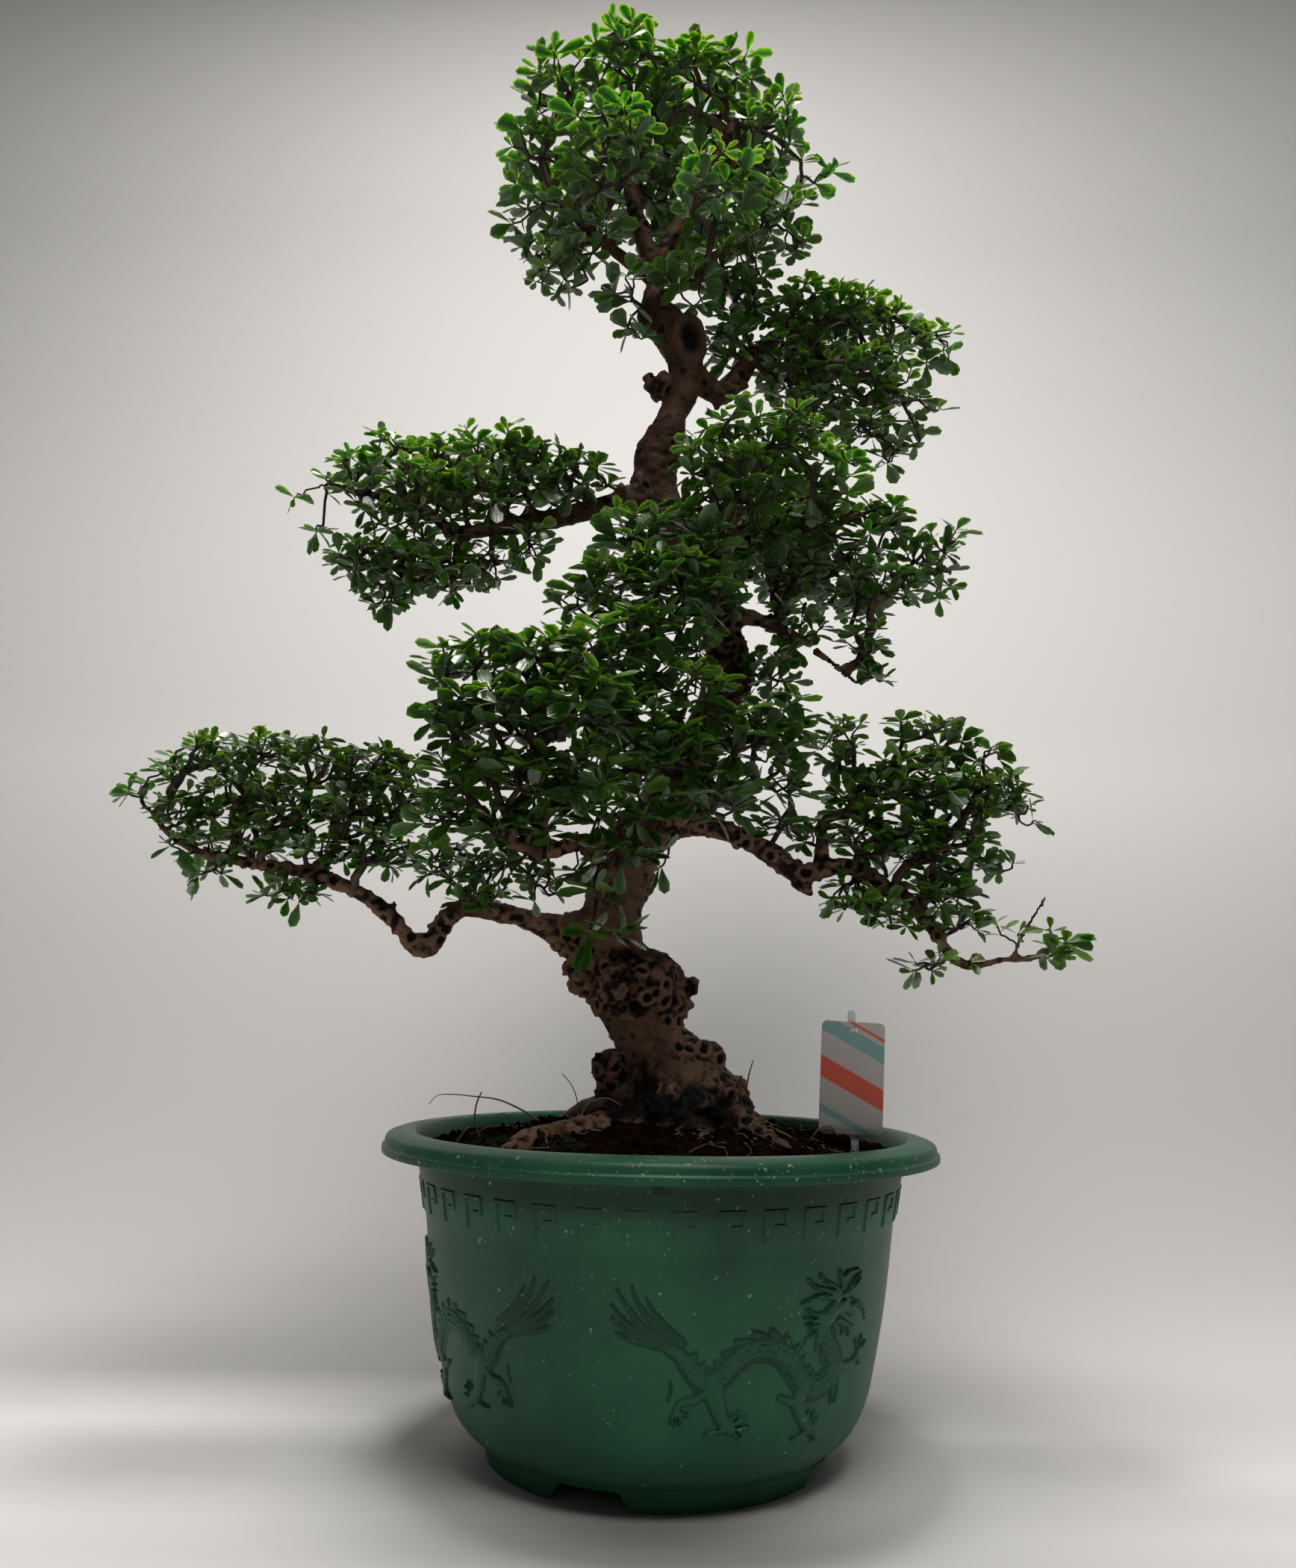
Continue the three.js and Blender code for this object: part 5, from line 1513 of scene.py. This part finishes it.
def pad_growth(pad, settings, random, curves):
    """Twigs and rosettes of one pad. Bare joints inside the lobes carry the twigs, and those that carry
    nothing are dropped. A twig's half width grows with the number of rosettes it carries."""
    rosettes, outwards = rosette_places(pad, settings, random, curves)
    lobes = np.array(pad["lobes"], float)
    starts = pad_starts(pad, curves)
    joints = [lobes[:, :3]]
    for x, y, z, half, height in lobes:
        spread = random.normal(size=(4, 3)) * [half * 0.35, half * 0.45, height * 0.35]
        joints.append([x, y, z] + spread)
    places = np.concatenate([starts, *joints, rosettes])
    parent, order = branching(places, len(starts), settings.straightness)
    first_rosette = len(places) - len(rosettes)
    carried = np.zeros(len(places))
    carried[first_rosette:] = 1
    for index in order[::-1]:
        carried[parent[index]] += carried[index]
    used = np.array([index for index in order if carried[index] > 0])
    thickness = np.minimum(settings.twig_radius / MM * carried**0.42, 4.2)
    start, end = places[parent[used]], places[used]
    bow = random.normal(size=(len(used), 3)) * 0.1 * length(end - start)
    routes = np.stack([start, (start + end) / 2 + bow, end], axis=1)
    first = np.minimum(thickness[parent[used]], 1.35 * thickness[used])
    radii = np.stack([first, (first + thickness[used]) / 2, thickness[used]], axis=1)
    arrived = unit(rosettes - places[parent[first_rosette:]])
    return routes, radii, rosettes, outwards, arrived


def pad_leaves(pad, settings, random, rosettes, outwards, arrived):
    """Leaves of one pad: 4 to 6 round each rosette by the golden angle, spread from its axis and laid
    flatter, with their upper faces to the light. Shoots on top are longer, with smaller, younger leaves.
    Leaves high on a pad get painted light through the new-leaf colour."""
    up = np.array([0, 0, 1.0])
    axis = unit(0.35 * arrived + 0.8 * outwards + 0.55 * up + 0.25 * random.normal(size=rosettes.shape))
    high = np.clip(outwards[:, 2], 0, 1)
    shoot = (random.uniform(size=len(rosettes)) < 0.1 + 0.3 * high * pad["young"]) & (outwards[:, 2] > 0.1)
    counts = random.integers(4, 7, len(rosettes)) + 2 * shoot
    owner = np.repeat(np.arange(len(rosettes)), counts)
    rank = np.arange(len(owner)) - np.repeat(np.cumsum(counts) - counts, counts)
    part = rank / counts[owner]
    main = axis[owner]
    opened = np.where(shoot[owner], 64 - 26 * part, 78 - 38 * part)
    spread = np.radians(opened + random.normal(0, 9, len(owner)))
    around = rank * 2.4 + random.uniform(0, 6.3, len(rosettes))[owner] + random.normal(0, 0.25, len(owner))
    level = unit(np.cross(main, up + 0.01))
    other = np.cross(main, level)
    away = level * np.cos(around)[:, None] + other * np.sin(around)[:, None]
    along = main * np.cos(spread)[:, None] + away * np.sin(spread)[:, None]
    hanging = smoothstep(0.1, 0.8, -outwards[owner, 2])
    along[:, 2] = along[:, 2] * (0.42 + 0.58 * hanging) + 0.06
    along = unit(along)
    light = unit(main * 0.4 + up + 0.42 * random.normal(size=along.shape))
    face = unit(light - along * np.sum(light * along, axis=1, keepdims=True))
    stem_length = np.where(shoot, random.uniform(10, 18, len(rosettes)), 3.0)
    root = rosettes[owner] + main * (stem_length[owner] * part)[:, None]
    size = random.normal(1, 0.16, len(owner)) * np.where(shoot[owner], 0.95 - 0.4 * part, 1.0)
    size *= np.where(rank == counts[owner] - 1, 0.65, 1) * random.uniform(0.82, 1.18, len(rosettes))[owner]
    lengths = settings.leaf_length / MM * pad["leaf"] * np.clip(size, 0.35, 1.4)
    # Painted light: leaves high on pads with many new leaves are made brighter, with the new leaves of shoots
    sunny = pad["young"] * smoothstep(0.1, 0.85, outwards[:, 2])
    bright = sunny + 0.8 * shoot * high + random.normal(0, 0.08, len(high))
    leaves = {
        "root": root,
        "along": along,
        "face": face,
        "length": lengths,
        "width": random.normal(settings.leaf_width, 0.12, len(owner)),
        "bend": random.uniform(-0.05, 0.22, len(owner)),
        "young": np.clip(bright[owner] * (0.6 + 0.5 * part), 0, 1),
        "tone": random.uniform(0, 1, len(rosettes))[owner] * 0.6 + random.uniform(0, 0.4, len(owner)),
    }
    reach = axis * stem_length[:, None]
    sprout = np.stack([rosettes, rosettes + 0.6 * reach, rosettes + reach], axis=1)
    return leaves, sprout


def pad_shapes(pad, settings, random, curves):
    """The leaves of a pad and its twigs, with the short sprout that carries each rosette."""
    routes, radii, rosettes, outwards, arrived = pad_growth(pad, settings, random, curves)
    leaves, sprouts = pad_leaves(pad, settings, random, rosettes, outwards, arrived)
    thin = settings.twig_radius / MM
    sprout_radii = np.tile([1.15 * thin, 0.9 * thin, 0.5 * thin], (len(sprouts), 1))
    twigs = merged([tubes(routes, radii, 5), tubes(sprouts, sprout_radii, 3)])
    return leaves_shape(leaves), twigs


# The label

def rounded_outline(width, height, corner, steps=8):
    """A rectangle with round corners, anticlockwise, with points along its straight sides as well."""
    made = []
    for k, (x, y) in enumerate([(1, -1), (1, 1), (-1, 1), (-1, -1)]):
        middle = np.array([x * (width / 2 - corner), y * (height / 2 - corner)])
        turn = np.linspace(0, math.pi / 2, steps) + (k - 1) * math.pi / 2
        made.append(middle + corner * np.stack([np.cos(turn), np.sin(turn)], axis=-1))
    loop = np.concatenate(made)
    return divided(np.vstack([loop, loop[:1]]), 3.0)[:-1]


def leaned(points, degrees, level):
    """Points turned in an upright plane, clockwise from the front, about the label's middle at a level."""
    turn = math.radians(degrees)
    across = points[:, 0] - LABEL_PLACE[0]
    up = points[:, 2] - level
    made = points.copy()
    made[:, 0] = LABEL_PLACE[0] + across * math.cos(turn) + up * math.sin(turn)
    made[:, 2] = level + up * math.cos(turn) - across * math.sin(turn)
    return made


def card_shape():
    """The card: a bevelled sheet between its hole and its rounded outline, bowed a little."""
    width, height = CARD_SIZE
    outline = rounded_outline(width, height, CARD_CORNER)
    hole = np.array([0, height / 2 - CARD_HOLE_DROP])
    half = CARD_THICKNESS / 2
    bevel = 0.25
    rings = [
        (hole + unit(outline - hole) * (CARD_HOLE + wider), depth)
        for wider, depth in ((bevel, -half), (0, bevel - half), (0, half - bevel), (bevel, half))
    ]
    inset = outline * (1 - bevel / (width / 2))
    sheet = ring_sheet(hole, CARD_HOLE + bevel, inset, 10)
    front = [(ring, half) for ring in sheet[1:-1]]
    edge = [(inset, half), (outline, half - bevel), (outline, bevel - half), (inset, -half)]
    back = [(ring, -half) for ring in sheet[-2:0:-1]]
    rows = rings + front + edge + back
    points = np.concatenate([np.insert(ring, 1, -depth, axis=1) for ring, depth in rows])
    points[:, 1] += 1.2 * (points[:, 0] / (width / 2)) ** 2 - 0.6
    points += [LABEL_PLACE[0], LABEL_PLACE[1] - 0.9, CARD_BOTTOM + height / 2]
    points = leaned(points, CARD_LEAN, CARD_BOTTOM + height)
    closed = np.concatenate([points, points[:len(outline)]])
    return shape(closed, [grid_faces(len(rows) + 1, len(outline), around=True)[:, ::-1]])


def stake_shape():
    """The stake: a flat strip with rounded edges and a point, and the peg through the card."""
    low, high = STAKE_HEIGHTS
    profile = rounded_outline(STAKE_WIDTH, STAKE_THICKNESS, 0.5, 4)
    stations = [*np.linspace(low, low + 20, 5), *np.linspace(low + 24, high - 3, 14), high - 1, high]
    width = np.interp(stations, [low, low + 20, high - 3, high - 1, high], [0.15, 1, 1, 0.85, 0.5])
    rings = [np.insert(profile * [w, 1], 2, z, axis=1) for w, z in zip(width, stations)]
    count = len(profile)
    ends = [np.arange(count)[::-1][None], (np.arange(count) + (len(stations) - 1) * count)[None]]
    strip = shape(np.concatenate(rings), [grid_faces(len(stations), count, around=True), *ends])
    strip["points"] += [LABEL_PLACE[0], LABEL_PLACE[1] + STAKE_THICKNESS / 2 + 0.1, 0]
    peg_height = CARD_BOTTOM + CARD_SIZE[1] - CARD_HOLE_DROP
    route = [[LABEL_PLACE[0], LABEL_PLACE[1] + depth, peg_height] for depth in (0.8, -1.4, -2.0)]
    peg = tubes(np.array([route], float), np.array([[2.0, 2.0, 1.5]]), 20)
    stake = merged([strip, shape(peg["points"], peg["faces"])])
    return shape(leaned(stake["points"], STAKE_LEAN, SOIL_TOP[3][1]), stake["faces"])


# The stage

def sweep_shape():
    """A paper sweep: a level floor that bends up through a quarter circle into a wall, with its painted light
    and shade.
    """
    start = SWEEP_WALL - SWEEP_BEND
    top = start + SWEEP_BEND * math.pi / 2
    floor = [-3200, -1500, -600, *range(-300, 600, 20)]
    passed = np.concatenate([floor, np.linspace(start, top, 40), np.linspace(top + 60, 5300, 50)])
    turn = np.clip((passed - start) / SWEEP_BEND, 0, math.pi / 2)
    deep = np.minimum(passed, start) + SWEEP_BEND * np.sin(turn)
    high = SWEEP_BEND * (1 - np.cos(turn)) + np.maximum(passed - top, 0)
    across = SWEEP_HALF_WIDTH * np.sinh(np.linspace(-3, 3, 101)) / math.sinh(3)
    points = np.stack(np.broadcast_arrays(across, deep[:, None], high[:, None]), axis=-1)
    # Painted light and shade, kept in the paper's tone
    tone = paper_painted_light(*np.broadcast_arrays(across, passed[:, None]))
    return shape(points.reshape(-1, 3), [grid_faces(len(passed), len(across))], tone=tone.reshape(-1))


def paper_painted_light(across, passed):
    """Painted light and shade on the paper: the stations' value at that way along it, less a bell of painted
    shadow round their middle, a painted slope of light from left to right in front of the pot, and a bell of
    painted shade right in front of its foot."""
    way, *columns = np.array(PAPER_PAINTED_LIGHT, float).T
    side, dip, middle = (np.interp(passed, way, column) for column in columns)
    tone = side * (1 - dip * np.exp(-(((across - middle) / PAINTED_SHADOW_REACH) ** 2)))
    front = smoothstep(-150, -80, passed) * (1 - smoothstep(-20, 70, passed))
    tone = np.minimum(tone * (1 + front * np.clip(-FLOOR_PAINTED_TILT * across, *PAINTED_LIGHT_SLOPE)), PAINTED_LIGHT_MOST)
    off_x, off_y = (
        (value - middle) / reach
        for value, middle, reach in zip((across, passed), CONTACT["middle"], CONTACT["reach"])
    )
    return tone * (1 - CONTACT["depth"] * np.exp(-(off_x**2) - off_y**2))


def add_light(name, place, target, size, power):
    """A square soft light that looks at a target."""
    data = bpy.data.lights.new(name, "AREA")
    data.shape = "SQUARE"
    data.size = size
    data.energy = power
    data.color = LIGHT_TINT
    light = bpy.data.objects.new(name, data)
    start = metres(place)
    way = unit(metres(target) - start)
    side = unit(np.cross(way, [0.001, 0, 1.0]))
    turn = Matrix(np.column_stack([side, np.cross(side, way), -way]).tolist()).to_4x4()
    light.matrix_world = Matrix.Translation(start) @ turn
    bpy.context.collection.objects.link(light)


def add_camera():
    """The photograph's camera, pitched up and rolled a little."""
    data = bpy.data.cameras.new("camera")
    data.sensor_width = SENSOR
    data.lens = CAMERA_LENS
    data.clip_end = 50
    camera = bpy.data.objects.new("camera", data)
    pitch = math.radians(CAMERA_PITCH)
    turn = Matrix.Rotation(math.pi / 2 + pitch, 4, "X") @ Matrix.Rotation(math.radians(CAMERA_ROLL), 4, "Z")
    camera.matrix_world = Matrix.Translation(metres(CAMERA_PLACE)) @ turn
    bpy.context.collection.objects.link(camera)
    bpy.context.scene.camera = camera


# Settings that a user would change

def tint(name, description, default):
    return FloatVectorProperty(
        name=name, description=description, default=default, subtype="COLOR", min=0, max=1
    )


def amount(name, description, default, unit="NONE"):
    return FloatProperty(name=name, description=description, default=default, unit=unit)


def seed_number(default):
    return IntProperty(name="Seed", description="Start of the random numbers", default=default)


class PotSettings(bpy.types.PropertyGroup):
    """The pot's colour and relief"""

    pot_colour: tint("Pot Colour", "Colour of the moulded plastic", (0.021, 0.103, 0.052))
    fret_count: IntProperty(name="Fret Hooks", description="Hooks round the band", default=37, min=4)
    fret_relief: amount("Fret Relief", "How proud the hooks stand", 0.0009, "LENGTH")
    dragon_relief: amount("Dragon Relief", "How proud the dragons stand", 0.0025, "LENGTH")
    dragon_step: amount("Dragon Step", "Distance between points of the relief", 0.00115, "LENGTH")


class WoodSettings(bpy.types.PropertyGroup):
    """The bark's colours and depth"""

    bark_colour: tint("Bark Colour", "Colour of the smooth bark", (0.125, 0.072, 0.046))
    burl_colour: tint("Burl Colour", "Colour of pits and rough bark", (0.008, 0.0045, 0.0026))
    twig_colour: tint("Twig Colour", "Colour of thin twigs", (0.028, 0.017, 0.01))
    bark_voxel: amount("Bark Mesh", "Size of the skin's quads", 0.0021, "LENGTH")
    bark_depth: amount("Bark Depth", "Strength of the bark's relief", 1.0)
    seed: seed_number(5)


class LeafSettings(bpy.types.PropertyGroup):
    """The leaves' size, number and colours"""

    leaf_colour: tint("Leaf Colour", "Colour of grown leaves", (0.0135, 0.041, 0.0015))
    # Colour of new leaves, also used as painted light on leaves high on the pads
    young_colour: tint("Young Leaf Colour", "Colour of young leaves", (0.22, 0.5, 0.045))
    leaf_length: amount("Leaf Length", "Length of a grown leaf", 0.0205, "LENGTH")
    leaf_width: amount("Leaf Width", "Width as a part of the usual width", 1.08)
    rosette_gap: amount("Rosette Gap", "Least distance between rosettes", 0.0128, "LENGTH")
    fullness: amount("Fullness", "Rosettes tried for each square gap of a lobe", 2.2)
    twig_radius: amount("Twig Radius", "Half width of the thinnest twigs", 0.0008, "LENGTH")
    straightness: amount("Straightness", "How much twigs keep to short ways back", 0.3)
    seed: seed_number(7)


class SoilSettings(bpy.types.PropertyGroup):
    """The soil's colour and crumbs"""

    soil_colour: tint("Soil Colour", "Colour of moist soil", (0.005, 0.0026, 0.0015))
    seed: seed_number(3)


class LabelSettings(bpy.types.PropertyGroup):
    """The label's colours"""

    card_colour: tint("Card Colour", "Colour of the card", (0.46, 0.42, 0.4))
    card_teal: tint("Card Teal", "Colour of the cool bands", (0.19, 0.33, 0.32))
    card_coral: tint("Card Coral", "Colour of the warm bands", (0.58, 0.09, 0.05))
    stake_colour: tint("Stake Colour", "Colour of the cloudy plastic", (0.72, 0.75, 0.73))


class StageSettings(bpy.types.PropertyGroup):
    """The backdrop and the lights"""

    backdrop_colour: tint("Backdrop Colour", "Colour of the paper", (0.72, 0.705, 0.69))
    ceiling_power: amount("Ceiling Light", "Power of the light above", 53.0, "POWER")
    front_power: amount("Front Light", "Power of the light in front", 33.0, "POWER")
    glow: amount("Wall Glow", "Strength of the wall's glow", 1.0)
    ambient: amount("Ambient", "Strength of the light from all round", 0.05)


# Steps that build the pieces

class BONSAI_OT_pot(bpy.types.Operator):
    """Builds the pot with its fret band and its dragons"""

    bl_idname = "bonsai.pot"
    bl_label = "Pot"

    def execute(self, context):
        settings = context.scene.bonsai_pot
        plastic = pot_plastic(settings)
        add_piece("pot_body", pot_shape(), plastic, node="pot", weld=1e-6)
        fret = fret_shape(settings.fret_count, settings.fret_relief / MM)
        add_piece("pot_fret_band", fret, plastic, crease=30)
        names = ("right_front", "right_back", "left_front", "left_back")
        for name, dragon in zip(names, dragons_shape(settings.dragon_relief / MM, settings.dragon_step / MM)):
            add_piece(f"pot_dragon_{name}", dragon, plastic, crease=60)
        return {"FINISHED"}


class BONSAI_OT_soil(bpy.types.Operator):
    """Builds the soil with its crumbs and the wiry roots on it"""

    bl_idname = "bonsai.soil"
    bl_label = "Soil"

    def execute(self, context):
        settings = context.scene.bonsai_soil
        random = np.random.default_rng(settings.seed)
        add_piece("soil_mound", soil_shape(random), soil_crumb(settings), node="soil")
        roots = fine_roots_shape(random)
        add_piece("fine_roots", roots, dry_root(context.scene.bonsai_wood))
        return {"FINISHED"}


class BONSAI_OT_wood(bpy.types.Operator):
    """Builds the trunk with its limbs, surface roots, burls and scar"""

    bl_idname = "bonsai.wood"
    bl_label = "Wood"

    def execute(self, context):
        settings = context.scene.bonsai_wood
        add_piece("tree_wood", wood_shape(settings), bark(settings), node="trunk")
        return {"FINISHED"}


class BONSAI_OT_leaves(bpy.types.Operator):
    """Builds the twigs and leaves of every pad"""

    bl_idname = "bonsai.leaves"
    bl_label = "Leaves"

    def execute(self, context):
        settings = context.scene.bonsai_leaf
        blade = leaf_blade(settings)
        twig = twig_bark(context.scene.bonsai_wood)
        curves = wood_routes()
        for number, pad in enumerate(PADS):
            random = np.random.default_rng(settings.seed + number)
            leaves, twigs = pad_shapes(pad, settings, random, curves)
            finish = "young_leaf" if pad["node"] in YOUNG_PADS else "leaf"
            place = pad["node"].removeprefix("leaves_")
            add_piece(f"blades_{place}", leaves, blade, node=pad["node"], crease=75)
            add_piece(f"twigs_{place}", twigs, twig)
        return {"FINISHED"}


class BONSAI_OT_label(bpy.types.Operator):
    """Builds the plant label and its stake"""

    bl_idname = "bonsai.label"
    bl_label = "Label"

    def execute(self, context):
        settings = context.scene.bonsai_label
        card, stake = printed_card(settings), clear_plastic(settings)
        add_piece("printed_label", card_shape(), card, node="label_card", crease=35, weld=1e-6)
        add_piece("clear_stake", stake_shape(), stake, node="label_stake", crease=35)
        return {"FINISHED"}


class BONSAI_OT_stage(bpy.types.Operator):
    """Builds the paper sweep, the lights and the camera"""

    bl_idname = "bonsai.stage"
    bl_label = "Stage"

    def execute(self, context):
        settings = context.scene.bonsai_stage
        sweep = add_piece("paper_sweep", sweep_shape(), backdrop_paper(settings))
        add_light("ceiling_light", *CEILING_LIGHT, settings.ceiling_power)
        add_light("front_light", *FRONT_LIGHT, settings.front_power)
        world = bpy.data.worlds.new("room")
        world.use_nodes = True
        background = world.node_tree.nodes["Background"]
        background.inputs["Color"].default_value = (1.0, 0.98, 0.95, 1.0)
        background.inputs["Strength"].default_value = settings.ambient
        context.scene.world = world
        context.scene.view_settings.view_transform = "Standard"
        add_camera()
        return {"FINISHED"}


class BONSAI_PT_steps(bpy.types.Panel):
    """Lists the steps and their settings"""

    bl_idname = "BONSAI_PT_steps"
    bl_label = "Fukien Tea Bonsai"
    bl_space_type = "VIEW_3D"
    bl_region_type = "UI"
    bl_category = "Bonsai"

    def draw(self, context):
        for name, group in SETTINGS.items():
            box = self.layout.box()
            for prop in group.__annotations__:
                box.prop(getattr(context.scene, name), prop)
        for step in STEPS:
            self.layout.operator(step.bl_idname)


SETTINGS = {
    "bonsai_pot": PotSettings,
    "bonsai_wood": WoodSettings,
    "bonsai_leaf": LeafSettings,
    "bonsai_soil": SoilSettings,
    "bonsai_label": LabelSettings,
    "bonsai_stage": StageSettings,
}
STEPS = (BONSAI_OT_pot, BONSAI_OT_soil, BONSAI_OT_wood, BONSAI_OT_leaves, BONSAI_OT_label, BONSAI_OT_stage)


def register():
    for kind in (*SETTINGS.values(), *STEPS, BONSAI_PT_steps):
        bpy.utils.register_class(kind)
    for name, group in SETTINGS.items():
        setattr(bpy.types.Scene, name, PointerProperty(type=group))


def unregister():
    for name in SETTINGS:
        delattr(bpy.types.Scene, name)
    for kind in (BONSAI_PT_steps, *STEPS, *SETTINGS.values()):
        bpy.utils.unregister_class(kind)


def plain(bounds):
    return [[float(value) for value in corner] for corner in bounds]


def main():
    register()
    for step in STEPS:
        getattr(bpy.ops.bonsai, step.bl_idname.split(".")[1])()
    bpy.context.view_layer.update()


if __name__ == "__main__":
    main()
